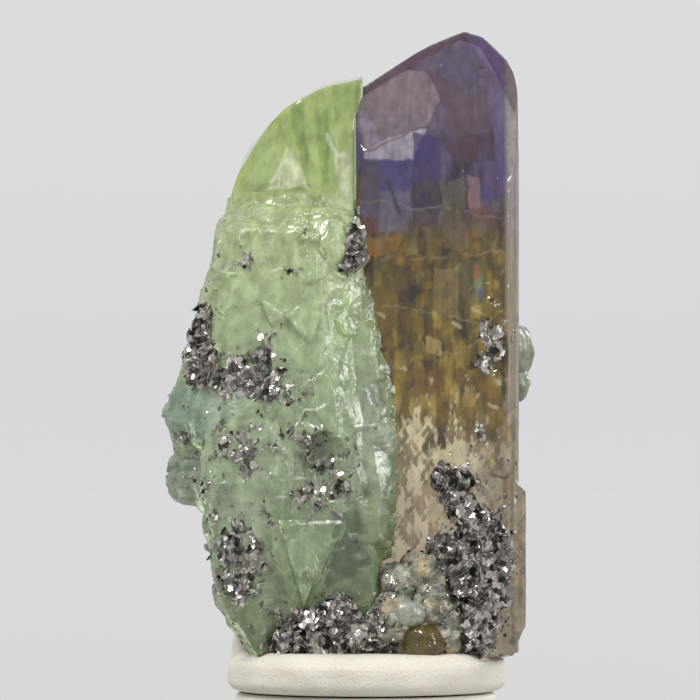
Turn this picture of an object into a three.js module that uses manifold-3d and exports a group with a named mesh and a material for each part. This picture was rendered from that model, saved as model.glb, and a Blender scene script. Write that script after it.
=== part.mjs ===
// Tanzanite with diopside: a small mineral specimen, held upright by putty on a short round foot.
//
// A purple to brown tanzanite prism stands on the right. A pale green diopside crystal leans on it from the
// left and wraps round its lower front. Graphite flakes, cream matrix and small grains grow on both.
//
// Millimetres, +Z up. The origin is the centre of the foot's underside, and -Y is the specimen's show side.
// Every mineral is a union of convex cells. A cell is a middle point and its flat faces, each face given by
// azimuth and elevation of its outward normal in degrees and by its distance from the middle point.
import * as THREE from 'three';
import { mergeVertices } from 'three/addons/utils/BufferGeometryUtils.js';
import Module from 'manifold-3d';

const wasm = await Module();
wasm.setup();

// Driving dimensions
const SPECIMEN_BASE = 4.75; // height where the crystals end, a little under the putty's top
const CONTACT_GAP = 0.08; // clearance kept between neighbouring pieces
const FOOT_DIAMETER = 12.5;
const FOOT_HEIGHT = 3.0;
const FOOT_EDGE = 0.25; // radius of the foot's rounded edges
const PUTTY_DIAMETER = 13.3;
const PUTTY_TOP = 5.0; // height of the putty's upper face
const PUTTY_NECK = 0.55; // how far the putty draws in where it meets the foot
const PUTTY_RIM = 1.05; // radius of the putty's rounded upper rim
const ROUND_STEPS = 36; // sides of the round pieces
const PIT_DEPTH = 0.22; // depth of the etched pits in the tanzanite's end
const PLATE_THICKNESS = 0.34; // of the graphite plates
const PLATE_TILT = 48; // range of the graphite plates' tilt, in degrees
const LUMP_POWER = 3.2; // shape of a lump: 2 is an ellipsoid, and more is squarer
const LUMP_SIDES = 7;
const PATCH_LUMP_SIDES = 4;
const REACH = 40; // half width of the block that each cell is cut from
const RANDOM_SEED = 20;

// Cells of the tanzanite: the tall prism with its sloping end, and a short thick crystal low on its right.
const tanzaniteCells = [
  {
    middle: [3.4, 0, 18],
    faces: [
      [-94, 0, 3.12],
      [-83, 0, 3.17],
      [-140, 0, 4.56],
      [180, 0, 3.88],
      [140, 0, 4.5],
      [97, 0, 3.15],
      [78, 0, 3.2],
      [38, 0, 4.45],
      [0, 0, 3.9],
      [-20, 0, 4.3],
      [-40, 0, 4.39],
      [-99.7, 40.6, 9.68],
      [-90, 24, 7.07],
      [-88.6, 48.4, 11.16],
      [-77.2, 29.1, 7.66],
      [-10, 65, 15.92],
      [8, 46, 13.62],
      [-8, 15.6, 7.46],
      [28, 17, 7.6],
      [150, 45, 12.05],
      [135, 42, 11.68],
      [60, 35, 11.75],
      [0, -90, 18 - SPECIMEN_BASE],
    ],
  },
  {
    middle: [6.0, 0.2, 9],
    faces: [
      [-84, 0, 2.75],
      [-42, 0, 2.62],
      [0, 0, 1.63],
      [40, 0, 2.7],
      [90, 0, 2.7],
      [180, 0, 1.2],
      [10, 75, 4.3],
      [0, 46.7, 3.81],
      [0, -36.3, 2.97],
      [0, -90, 9 - SPECIMEN_BASE],
    ],
  },
];

// Etched pits in the tanzanite's end: x, z, half width and half height, seen from the front.
const pitRows = [
  [3.46, 33.95, 0.14, 0.1],
  [4.03, 33.9, 0.24, 0.13],
  [5.0, 34.25, 0.16, 0.12],
  [5.15, 33.85, 0.18, 0.08],
  [5.57, 32.98, 0.18, 0.15],
];

// Cells of the big diopside, from the clear tip down.
const diopsideTip = {
  middle: [-3.2, 0.5, 25],
  faces: [
    [180, 15.7, 3.62],
    [-174, 30.8, 4.09],
    [-178, 43.1, 4.63],
    [-172, 61.5, 5.7],
    [-160, 77.5, 6.7],
    [-118, 12, 3.35],
    [-84, 8, 3.15],
    [-140, 20, 4.2],
    [-110, 40, 5.9],
    [100, 6, 2.7],
    [150, 20, 4.2],
    [0, 0, 3.05],
    [0, -90, 9],
  ],
};
const diopsideBody = {
  middle: [-3.2, -0.8, 17],
  faces: [
    [-176, 15.3, 5.82],
    [-178, 4, 4.9],
    [-178, -6.5, 4.98],
    [-178, -37.7, 8.9],
    [-128, 4, 4.75],
    [-98, 2, 3.85],
    [-60, 6, 4.35],
    [-22, 14, 5.15],
    [-18, 7, 4.95],
    [-16, -5, 5.1],
    [-135, 50, 8.8],
    [-55, 45, 8.3],
    [-95, 52, 8.5],
    [-90, 80, 9.44],
    [-95, -10.5, 4.55],
    [90, 4, 3.5],
    [140, 8, 4.5],
    [0, -90, 17 - SPECIMEN_BASE],
  ],
};
const paleColumn = {
  middle: [0.2, -2.4, 14.6],
  faces: [
    [-100, 3, 1.95],
    [-52, 4, 1.75],
    [-20, 9, 1.55],
    [-14, -3, 1.5],
    [180, 0, 1.4],
    [90, 0, 2.2],
    [-80, 62, 5.9],
    [-60, -50, 4.6],
  ],
};
const brightWedge = {
  middle: [-2.7, -3.2, 9.6],
  faces: [
    [-92, -4, 1.35],
    [-170, -17, 1.12],
    [-10, -26.6, 0.98],
    [-95, 60, 2.1],
    [90, 0, 2.0],
    [0, -90, 3.6],
  ],
};
const ribbedColumn = {
  middle: [-5.5, -2.2, 8.2],
  faces: [
    [-104, -4, 1.75],
    [-76, -2, 1.75],
    [-170, -4, 1.52],
    [-14, -6, 1.15],
    [90, 0, 2.0],
    [-110, 55, 3.1],
    [-174, -37.7, 1.9],
    [0, -90, 8.2 - SPECIMEN_BASE],
  ],
};

// Each row is a lump: middle, half width, half depth, half height, and turn in degrees.
const clusterRows = [
  [[-8.35, -0.9, 16.3], 1.15, 1.5, 1.6, 8],
  [[-7.25, -2.0, 16.2], 1.15, 1.3, 1.75, -15],
  [[-5.9, -2.9, 15.9], 1.15, 1.25, 1.8, 10],
  [[-4.5, -3.45, 15.2], 0.95, 1.0, 1.6, -8],
  [[-8.2, -0.8, 13.3], 1.22, 1.5, 1.3, 6],
  [[-6.9, -2.1, 13.1], 1.25, 1.4, 1.6, 20],
  [[-5.5, -3.0, 13.2], 1.25, 1.3, 1.6, -12],
  [[-6.75, -1.7, 11.0], 0.95, 1.4, 1.4, 10],
];
const ledgeRows = [
  [[-2.3, -2.8, 24.3], 2.0, 1.35, 1.9, 8],
  [[-4.9, -2.2, 24.0], 1.7, 1.4, 2.0, -20],
];
const cavityRows = [
  [[-1.9, -4.75, 13.9], 0.95, 0.75, 1.75, 6],
  [[-5.3, -4.2, 19.0], 0.6, 0.5, 0.35, 0],
];
const sideDiopsideRows = [
  [[7.15, 0.9, 19.4], 0.7, 1.2, 1.15, -10],
  [[7.1, 1.3, 17.75], 0.6, 1.0, 0.9, 14],
  [[7.05, 2.0, 18.6], 0.6, 0.9, 1.15, 20],
];
const paleGrainRows = [[[1.95, -3.9, 6.9], 0.8, 0.85, 0.62, 15]];
const honeyGrainRows = [[[2.7, -4.0, 5.45], 0.86, 0.9, 0.92, -12]];
const matrixRows = [
  [[1.5, -3.1, 8.3], 1.0, 0.9, 1.0, 10],
  [[2.7, -3.1, 8.9], 1.1, 0.75, 0.9, -20],
  [[3.1, -3.2, 7.3], 0.9, 0.95, 1.2, -6],
  [[1.1, -3.5, 6.7], 1.0, 1.1, 1.2, 30],
  [[3.7, -3.1, 5.9], 0.8, 1.0, 1.2, -10],
  [[2.3, -3.0, 5.9], 1.2, 1.1, 1.2, 14],
];

// Banks of putty pressed up behind the crystals: middle, and half width, depth and height.
const puttyBankRows = [
  [[-4.5, 2.0, 4.6], [2.2, 2.3, 2.1]],
  [[-0.8, 3.7, 4.6], [3.2, 2.0, 1.5]],
  [[3.9, 3.2, 4.6], [2.5, 2.0, 1.0]],
];

// Graphite patches. A station is where a few plates lie: x, z, and the radius of its plates.
// The plates face the azimuth that is given.
const graphitePatches = {
  graphite_base_heap: {
    azimuth: -90,
    depth: 0.75,
    stations: [
      [-3.9, 5.5, 0.5],
      [-3.1, 5.9, 0.75],
      [-2.2, 6.3, 0.9],
      [-1.4, 6.9, 0.75],
      [-1.1, 6.1, 0.95],
      [-2.2, 5.4, 0.8],
      [-0.2, 5.9, 0.85],
      [0.6, 5.5, 0.7],
      [-0.9, 5.3, 0.85],
      [1.3, 5.2, 0.45],
    ],
  },
  graphite_right_band: {
    azimuth: -84,
    depth: 0.45,
    stations: [
      [3.6, 13.3, 0.45],
      [4.55, 13.2, 0.42],
      [4.0, 12.6, 0.5],
      [4.6, 11.8, 0.65],
      [5.2, 11.1, 0.8],
      [5.8, 10.3, 0.85],
      [5.9, 9.2, 0.9],
      [4.9, 9.7, 0.9],
      [3.8, 9.6, 0.8],
      [4.6, 8.4, 0.9],
      [5.7, 8.0, 0.95],
      [5.3, 6.9, 0.85],
      [5.1, 5.8, 0.75],
    ],
  },
  graphite_left_blade: {
    azimuth: -145,
    depth: 0.3,
    stations: [
      [-7.6, 21.0, 0.35],
      [-7.65, 20.4, 0.42],
      [-7.7, 19.8, 0.5],
      [-7.8, 19.1, 0.65],
      [-7.4, 18.6, 0.6],
      [-7.85, 18.4, 0.6],
    ],
  },
  graphite_shelf: {
    azimuth: -96,
    depth: 0.45,
    stations: [
      [-6.3, 18.0, 0.5],
      [-5.6, 18.4, 0.65],
      [-4.9, 18.8, 0.55],
      [-4.7, 18.1, 0.65],
      [-4.1, 17.6, 0.5],
    ],
  },
  graphite_low_left: {
    azimuth: -104,
    depth: 0.4,
    stations: [
      [-6.7, 9.9, 0.6],
      [-5.9, 10.3, 0.7],
      [-5.7, 9.3, 0.75],
      [-6.5, 9.0, 0.7],
      [-5.9, 8.3, 0.6],
    ],
  },
  graphite_seam: {
    azimuth: -96,
    depth: 0.3,
    stations: [
      [-0.62, 24.9, 0.26],
      [-0.58, 24.4, 0.32],
      [-0.62, 23.9, 0.36],
      [-0.85, 23.4, 0.34],
    ],
  },
  graphite_upper_right: {
    azimuth: -75,
    depth: 0.3,
    stations: [
      [6.15, 20.5, 0.4],
      [6.1, 19.8, 0.5],
      [5.85, 19.1, 0.45],
    ],
  },
  graphite_cluster: {
    azimuth: -112,
    depth: 0.35,
    stations: [
      [-7.0, 15.1, 0.5],
      [-6.3, 14.8, 0.55],
      [-5.6, 14.9, 0.45],
      [-5.5, 14.2, 0.4],
    ],
  },
  graphite_hollow: {
    azimuth: -90,
    depth: 0.3,
    stations: [
      [-2.6, 12.5, 0.45],
      [-1.9, 12.3, 0.5],
      [-1.3, 12.7, 0.45],
      [-1.4, 13.5, 0.4],
    ],
  },
};

// Colours and surfaces
const finishes = {
  tanzanite: { color: 0x6d5a78, roughness: 0.08, metalness: 0 },
  diopside: { color: 0x9cb883, roughness: 0.3, metalness: 0 },
  graphite: { color: 0x5b575a, roughness: 0.35, metalness: 0.9 },
  matrix: { color: 0xb9b199, roughness: 0.7, metalness: 0 },
  honey: { color: 0x8a6a24, roughness: 0.2, metalness: 0 },
  putty: { color: 0xe6e2d2, roughness: 0.6, metalness: 0 },
  foot: { color: 0xe9e6da, roughness: 0.45, metalness: 0 },
};

// Outward normal of a face.
function outward(azimuth, elevation) {
  const a = THREE.MathUtils.degToRad(azimuth);
  const e = THREE.MathUtils.degToRad(elevation);
  return new THREE.Vector3(Math.cos(e) * Math.cos(a), Math.cos(e) * Math.sin(a), Math.sin(e));
}

// Evenly spread random numbers from 0 to 1, the same on every run.
function seededRandom(seed) {
  let state = seed;
  return () => {
    state = (state * 1664525 + 1013904223) % 4294967296;
    return state / 4294967296;
  };
}

// A closed geometry as a solid for cutting and joining.
function solidOf(geometry) {
  const bare = geometry.clone();
  bare.deleteAttribute('normal');
  bare.deleteAttribute('uv');
  const merged = mergeVertices(bare, 1e-4);
  return new wasm.Manifold(
    new wasm.Mesh({
      numProp: 3,
      vertProperties: new Float32Array(merged.attributes.position.array),
      triVerts: new Uint32Array(merged.index.array),
    }),
  );
}

// A solid as flat-shaded geometry.
function geometryOf(solid) {
  const mesh = solid.getMesh();
  const geometry = new THREE.BufferGeometry();
  geometry.setAttribute('position', new THREE.BufferAttribute(mesh.vertProperties, 3));
  geometry.setIndex(new THREE.BufferAttribute(mesh.triVerts, 1));
  const flat = geometry.toNonIndexed();
  flat.computeVertexNormals();
  return flat;
}

// The largest connected part of a solid, so that no loose sliver is left by a cut.
function largest(solid) {
  return solid.decompose().reduce((best, piece) => (piece.volume() > best.volume() ? piece : best));
}

// One convex cell, with every face moved outwards by grow.
function cellSolid({ middle, faces }, grow = 0) {
  const block = new THREE.BoxGeometry(2 * REACH, 2 * REACH, 2 * REACH).translate(...middle);
  const centre = new THREE.Vector3(...middle);
  let solid = solidOf(block);
  for (const [azimuth, elevation, distance] of faces) {
    const normal = outward(azimuth, elevation);
    const offset = normal.dot(centre) + distance + grow;
    solid = solid.trimByPlane(normal.clone().negate().toArray(), -offset);
  }
  return solid;
}

// The union of several cells.
function unionOf(cells, grow = 0) {
  return cells.map((cell) => cellSolid(cell, grow)).reduce((whole, next) => whole.add(next));
}

// The point of the cells that shows at x, z from the front, or null.
function firstMet(cells, x, z) {
  const origin = new THREE.Vector3(x, -REACH, z);
  const direction = new THREE.Vector3(0, 1, 0);
  let nearest = Infinity;
  for (const { middle, faces } of cells) {
    const from = origin.clone().sub(new THREE.Vector3(...middle));
    let enter = -Infinity;
    let leave = Infinity;
    for (const [azimuth, elevation, distance] of faces) {
      const normal = outward(azimuth, elevation);
      const along = normal.dot(direction);
      const room = distance - normal.dot(from);
      if (Math.abs(along) < 1e-6) {
        if (room < 0) enter = Infinity;
      } else if (along < 0) {
        enter = Math.max(enter, room / along);
      } else {
        leave = Math.min(leave, room / along);
      }
    }
    if (enter < leave) nearest = Math.min(nearest, enter);
  }
  return nearest < Infinity ? origin.clone().addScaledVector(direction, nearest) : null;
}

// A rounded block as one cell: rings of faces that all touch a superellipsoid of the row's half sizes.
function lumpCell([middle, width, depth, height, turn], sides = LUMP_SIDES) {
  const faces = [];
  const dual = LUMP_POWER / (LUMP_POWER - 1);
  for (const elevation of [-90, -48, -4, 42, 90]) {
    const count = Math.abs(elevation) === 90 ? 1 : sides;
    for (let i = 0; i < count; i++) {
      const azimuth = (i * 360) / count + (elevation < 0 ? 24 : 0);
      const normal = outward(azimuth, elevation);
      const reach =
        Math.abs(normal.x * width) ** dual +
        Math.abs(normal.y * depth) ** dual +
        Math.abs(normal.z * height) ** dual;
      faces.push([azimuth + turn, elevation, reach ** (1 / dual)]);
    }
  }
  return { middle, faces };
}

// The cells of a table of lumps.
function lumps(rows) {
  return rows.map((row) => lumpCell(row));
}

// A thin six-sided plate, as one cell that faces the given way.
function plateCell(middle, azimuth, elevation, radius, turn) {
  const facing = outward(azimuth, elevation);
  const side = new THREE.Vector3(0, 0, 1).cross(facing).normalize();
  const up = facing.clone().cross(side);
  const faces = [
    [azimuth, elevation, PLATE_THICKNESS / 2],
    [azimuth + 180, -elevation, PLATE_THICKNESS / 2],
  ];
  for (let i = 0; i < 6; i++) {
    const angle = turn + (i * Math.PI) / 3;
    const rim = side.clone().multiplyScalar(Math.cos(angle)).addScaledVector(up, Math.sin(angle));
    const rimAzimuth = THREE.MathUtils.radToDeg(Math.atan2(rim.y, rim.x));
    const rimElevation = THREE.MathUtils.radToDeg(Math.asin(THREE.MathUtils.clamp(rim.z, -1, 1)));
    faces.push([rimAzimuth, rimElevation, radius * (i % 2 ? 0.8 : 1)]);
  }
  return { middle: middle.toArray(), faces };
}

// The cells of a patch: at each station one thick lump in the host's skin and two tilted plates on it.
function patchCells({ azimuth, depth, stations }, hosts, random) {
  const facing = outward(azimuth, 0);
  const across = new THREE.Vector3(-facing.y, facing.x, 0);
  const cells = [];
  for (const [x, z, radius] of stations) {
    const met = firstMet(hosts, x, z);
    if (!met) throw new Error(`a graphite station at ${x}, ${z} meets no mineral`);
    const lumpRadius = radius * 0.95;
    cells.push(lumpCell([met.toArray(), lumpRadius, depth, lumpRadius, azimuth + 90], PATCH_LUMP_SIDES));
    for (let i = 0; i < 2; i++) {
      const tiltAcross = (random() - 0.5) * PLATE_TILT;
      const tiltUp = (random() - 0.5) * PLATE_TILT;
      const shift = (random() - 0.5) * radius * 0.7;
      const middle = met
        .clone()
        .addScaledVector(facing, depth * (0.35 + 0.45 * i))
        .addScaledVector(across, shift);
      middle.z += (random() - 0.5) * radius * 0.7;
      cells.push(plateCell(middle, azimuth + tiltAcross, tiltUp, radius * (1 - 0.2 * i), random() * 3));
    }
  }
  return cells;
}

// Each pit is a small block sunk into the first face that it meets from the front.
function pitCells() {
  return pitRows.map(([x, z, width, height]) => {
    const met = firstMet(tanzaniteCells, x, z);
    return lumpCell([met.toArray(), width, PIT_DEPTH, height, 0], PATCH_LUMP_SIDES);
  });
}

// A closed lathe about Z, from a profile of radius and height that starts and ends on the axis.
function latheSolid(profile) {
  const points = profile.map(([reach, height]) => new THREE.Vector2(reach, height));
  return solidOf(new THREE.LatheGeometry(points, ROUND_STEPS).rotateX(Math.PI / 2));
}

// Points on a quarter circle about a corner, from one angle to another in degrees.
function arc(reach, height, radius, from, to, steps) {
  return Array.from({ length: steps + 1 }, (_, i) => {
    const angle = THREE.MathUtils.degToRad(from + ((to - from) * i) / steps);
    return [reach + radius * Math.cos(angle), height + radius * Math.sin(angle)];
  });
}

// The soft disc that holds the specimen: drawn in below, rounded above, with banks pressed up behind.
function puttySolid() {
  const radius = PUTTY_DIAMETER / 2;
  const bottom = FOOT_HEIGHT + CONTACT_GAP;
  const side = arc(radius - PUTTY_NECK, bottom + PUTTY_NECK, PUTTY_NECK, -90, 0, 3);
  const rim = arc(radius - PUTTY_RIM, PUTTY_TOP - PUTTY_RIM, PUTTY_RIM, 10, 90, 3);
  const disc = latheSolid([[0, bottom], ...side, ...rim, [0, PUTTY_TOP]]);
  const banks = puttyBankRows.map(([middle, radii]) =>
    solidOf(new THREE.SphereGeometry(1, 16, 8).scale(...radii).translate(...middle)),
  );
  return banks.reduce((whole, bank) => whole.add(bank), disc).trimByPlane([0, 0, 1], bottom);
}

// The plain round foot, with both edges rounded.
function footSolid() {
  const reach = FOOT_DIAMETER / 2 - FOOT_EDGE;
  const lower = arc(reach, FOOT_EDGE, FOOT_EDGE, -90, 0, 2);
  const upper = arc(reach, FOOT_HEIGHT - FOOT_EDGE, FOOT_EDGE, 0, 90, 2);
  return latheSolid([[0, 0], ...lower, ...upper, [0, FOOT_HEIGHT]]);
}

const specimen = new THREE.Group();

function addPiece(name, solid, finish) {
  const mesh = new THREE.Mesh(geometryOf(largest(solid)), new THREE.MeshStandardMaterial(finishes[finish]));
  mesh.name = name;
  specimen.add(mesh);
}

// Each piece is cut by the minerals that were added before it, grown by the contact gap.
const taken = [];
function clearOfMinerals(solid) {
  return taken.reduce((rest, earlier) => rest.subtract(earlier), solid);
}

function addMineral(name, cells, finish, hollows = []) {
  const carved = hollows.reduce((rest, hollow) => rest.subtract(cellSolid(hollow)), unionOf(cells));
  addPiece(name, clearOfMinerals(carved), finish);
  taken.push(unionOf(cells, CONTACT_GAP));
}

const diopsideCells = [
  diopsideTip,
  diopsideBody,
  paleColumn,
  brightWedge,
  ribbedColumn,
  ...lumps(ledgeRows),
  ...lumps(clusterRows),
];
addMineral('tanzanite_crystal', tanzaniteCells, 'tanzanite', pitCells());
addMineral('diopside_crystal', diopsideCells, 'diopside', lumps(cavityRows));
addMineral('side_diopside', lumps(sideDiopsideRows), 'diopside');

const random = seededRandom(RANDOM_SEED);
for (const [name, patch] of Object.entries(graphitePatches)) {
  addMineral(name, patchCells(patch, [...tanzaniteCells, ...diopsideCells], random), 'graphite');
}
addMineral('honey_grain', lumps(honeyGrainRows), 'honey');
addMineral('pale_grain', lumps(paleGrainRows), 'matrix');
addMineral('cream_matrix', lumps(matrixRows), 'matrix');

addPiece('display_putty', clearOfMinerals(puttySolid()), 'putty');
addPiece('display_foot', footSolid(), 'foot');

export default specimen;
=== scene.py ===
"""Tanzanite with diopside on its display foot: the finished look of every piece, with light and camera.

The pieces' tables are in millimetres, as the specimen was measured, and every mesh is in metres. X is to
the right of the side that is shown, Y is away from it and Z is up. The origin is the centre of the foot's
underside.
"""
import logging
import math
from dataclasses import dataclass, field
from enum import Enum
from typing import Callable, Optional

import bpy
import numpy as np
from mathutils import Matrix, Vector


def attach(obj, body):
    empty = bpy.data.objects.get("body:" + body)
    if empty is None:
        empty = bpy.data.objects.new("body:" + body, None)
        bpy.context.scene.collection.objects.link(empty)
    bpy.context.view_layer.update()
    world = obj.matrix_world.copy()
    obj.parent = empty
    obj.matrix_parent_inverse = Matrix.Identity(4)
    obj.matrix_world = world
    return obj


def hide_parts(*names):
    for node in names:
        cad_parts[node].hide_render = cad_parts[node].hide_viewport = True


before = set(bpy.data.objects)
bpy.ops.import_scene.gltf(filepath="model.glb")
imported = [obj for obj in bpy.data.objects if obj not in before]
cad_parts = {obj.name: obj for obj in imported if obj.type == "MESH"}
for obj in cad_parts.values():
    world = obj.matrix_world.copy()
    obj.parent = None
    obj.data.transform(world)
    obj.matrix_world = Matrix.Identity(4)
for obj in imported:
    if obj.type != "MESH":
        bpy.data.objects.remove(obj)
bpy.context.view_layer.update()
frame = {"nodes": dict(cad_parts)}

MM = 0.001
SPECIMEN_BASE = 4.75
CONTACT_GAP = 0.09
DARKEST = 0.004

log = logging.getLogger("specimen")

Array = np.ndarray
Colour = tuple[float, float, float]
Face = tuple[float, float, float]
Point = tuple[float, float, float]


class Slot(Enum):
    """The record's material slots, one for each kind of piece."""

    TANZANITE = "tanzanite"
    DIOPSIDE = "diopside"
    GRAPHITE = "graphite"
    HONEY = "honey_grain"
    PALE = "pale_grain"
    MATRIX = "matrix"
    PUTTY = "putty"
    FOOT = "foot"


@dataclass(frozen=True)
class Cell:
    """A convex part of a crystal: a middle point and flat faces, each by azimuth, elevation and distance."""

    middle: Point
    faces: tuple[Face, ...]


@dataclass(frozen=True)
class Lump:
    """A rounded block: its middle, its half sizes and its turn about the upright in degrees."""

    middle: Point
    half: Point
    turn: float = 0.0


@dataclass(frozen=True)
class Zone:
    """A patch of colour that runs through a crystal, seen from the front; some zones are painted shade
    instead.

    Attributes:
        name: What the patch is.
        place: Its middle as x and z.
        half: Its half width and half height.
        turn: Its turn in degrees, anticlockwise as seen from the front.
        colour: Its linear colour.
        strength: How far it covers what lies under it, from 0 to 1.
    """

    name: str
    place: tuple[float, float]
    half: tuple[float, float]
    turn: float
    colour: Colour
    strength: float


@dataclass(frozen=True)
class Pane:
    """A sharp-edged window inside a crystal, seen from the front; some panes paint glints, reflections, lit
    facets and shade instead.

    Attributes:
        name: What the window is.
        corners: Its corners as x and z, in order round a convex outline.
        colour: Its linear colour.
        strength: How far it covers what lies under it, from 0 to 1.
    """

    name: str
    corners: tuple[tuple[float, float], ...]
    colour: Colour
    strength: float


TANZANITE_CELLS = (
    Cell(
        (3.4, 0.0, 18.0),
        (
            (-94, 0, 3.12), (-83, 0, 3.17), (-140, 0, 4.56), (180, 0, 3.88), (140, 0, 4.5), (97, 0, 3.15),
            (78, 0, 3.2), (38, 0, 4.45), (0, 0, 3.9), (-20, 0, 4.3), (-40, 0, 4.39), (-99.7, 40.6, 9.68),
            (-90, 24, 7.07), (-88.6, 48.4, 11.16), (-77.2, 29.1, 7.66), (-10, 65, 15.92), (8, 46, 13.62),
            (-8, 15.6, 7.46), (28, 17, 7.6), (150, 45, 12.05), (135, 42, 11.68), (60, 35, 11.75),
            (0, -90, 18 - SPECIMEN_BASE),
        ),
    ),
    Cell(
        (6.0, 0.2, 9.0),
        (
            (-84, 0, 2.75), (-42, 0, 2.62), (0, 0, 1.63), (40, 0, 2.7), (90, 0, 2.7), (180, 0, 1.2),
            (10, 75, 4.3), (0, 46.7, 3.81), (0, -36.3, 2.97), (0, -90, 9 - SPECIMEN_BASE),
        ),
    ),
)
DIOPSIDE_CELLS = (
    Cell(
        (-3.2, 0.5, 25.0),
        (
            (180, 15.7, 3.62), (-174, 30.8, 4.09), (-178, 43.1, 4.63), (-172, 61.5, 5.7), (-160, 77.5, 6.7),
            (-118, 12, 3.35), (-84, 8, 3.15), (-140, 20, 4.2), (-110, 40, 5.9), (100, 6, 2.7), (150, 20, 4.2),
            (0, 0, 3.05), (0, -90, 9),
        ),
    ),
    Cell(
        (-3.2, -0.8, 17.0),
        (
            (-176, 15.3, 5.82), (-178, 4, 4.9), (-178, -6.5, 4.98), (-178, -37.7, 8.9), (-128, 4, 4.75),
            (-98, 2, 3.85), (-60, 6, 4.35), (-22, 14, 5.15), (-18, 7, 4.95), (-16, -5, 5.1), (-135, 50, 8.8),
            (-55, 45, 8.3), (-95, 52, 8.5), (-90, 80, 9.44), (-95, -10.5, 4.55), (90, 4, 3.5), (140, 8, 4.5),
            (0, -90, 17 - SPECIMEN_BASE),
        ),
    ),
    Cell(
        (0.2, -2.4, 14.6),
        (
            (-100, 3, 1.95), (-52, 4, 1.75), (-20, 9, 1.55), (-14, -3, 1.5), (180, 0, 1.4), (90, 0, 2.2),
            (-80, 62, 5.9), (-60, -50, 4.6),
        ),
    ),
    Cell(
        (-2.7, -3.2, 9.6),
        ((-92, -4, 1.35), (-170, -17, 1.12), (-10, -26.6, 0.98), (-95, 60, 2.1), (90, 0, 2.0), (0, -90, 3.6)),
    ),
    Cell(
        (-5.5, -2.2, 8.2),
        (
            (-104, -4, 1.75), (-76, -2, 1.75), (-170, -4, 1.52), (-14, -6, 1.15), (90, 0, 2.0),
            (-110, 55, 3.1), (-174, -37.7, 1.9), (0, -90, 8.2 - SPECIMEN_BASE),
        ),
    ),
)
DIOPSIDE_LUMPS = (
    Lump((-2.3, -2.8, 24.3), (2.0, 1.35, 1.9), 8),
    Lump((-4.9, -2.2, 24.0), (1.7, 1.4, 2.0), -20),
    Lump((-8.35, -0.9, 16.3), (1.15, 1.5, 1.6), 8),
    Lump((-7.25, -2.0, 16.2), (1.15, 1.3, 1.75), -15),
    Lump((-5.9, -2.9, 15.9), (1.15, 1.25, 1.8), 10),
    Lump((-4.5, -3.45, 15.2), (0.95, 1.0, 1.6), -8),
    Lump((-8.2, -0.8, 13.3), (1.22, 1.5, 1.3), 6),
    Lump((-8.1, -0.9, 14.8), (1.0, 1.4, 0.9), 4),
    Lump((-6.9, -2.1, 13.1), (1.25, 1.4, 1.6), 20),
    Lump((-5.5, -3.0, 13.2), (1.25, 1.3, 1.6), -12),
    Lump((-6.75, -1.7, 11.0), (0.95, 1.4, 1.4), 10),
)
SIDE_DIOPSIDE_LUMPS = (
    Lump((7.15, 0.9, 19.4), (0.7, 1.2, 1.15), -10),
    Lump((7.1, 1.3, 17.75), (0.6, 1.0, 0.9), 14),
    Lump((7.05, 2.0, 18.6), (0.6, 0.9, 1.15), 20),
)
MATRIX_LUMPS = (
    Lump((1.5, -3.1, 8.3), (1.0, 0.9, 1.0), 10),
    Lump((2.7, -3.1, 8.9), (1.1, 0.75, 0.9), -20),
    Lump((3.1, -3.2, 7.3), (0.9, 0.95, 1.2), -6),
    Lump((1.1, -3.5, 6.7), (1.0, 1.1, 1.2), 30),
    Lump((3.7, -3.1, 5.9), (0.8, 1.0, 1.2), -10),
    Lump((2.3, -3.0, 5.9), (1.2, 1.1, 1.2), 14),
)
PALE_LUMPS = (Lump((1.95, -3.9, 6.9), (0.8, 0.85, 0.62), 15),)
HONEY_LUMPS = (Lump((2.7, -4.0, 5.45), (0.86, 0.9, 0.92), -12),)

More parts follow.
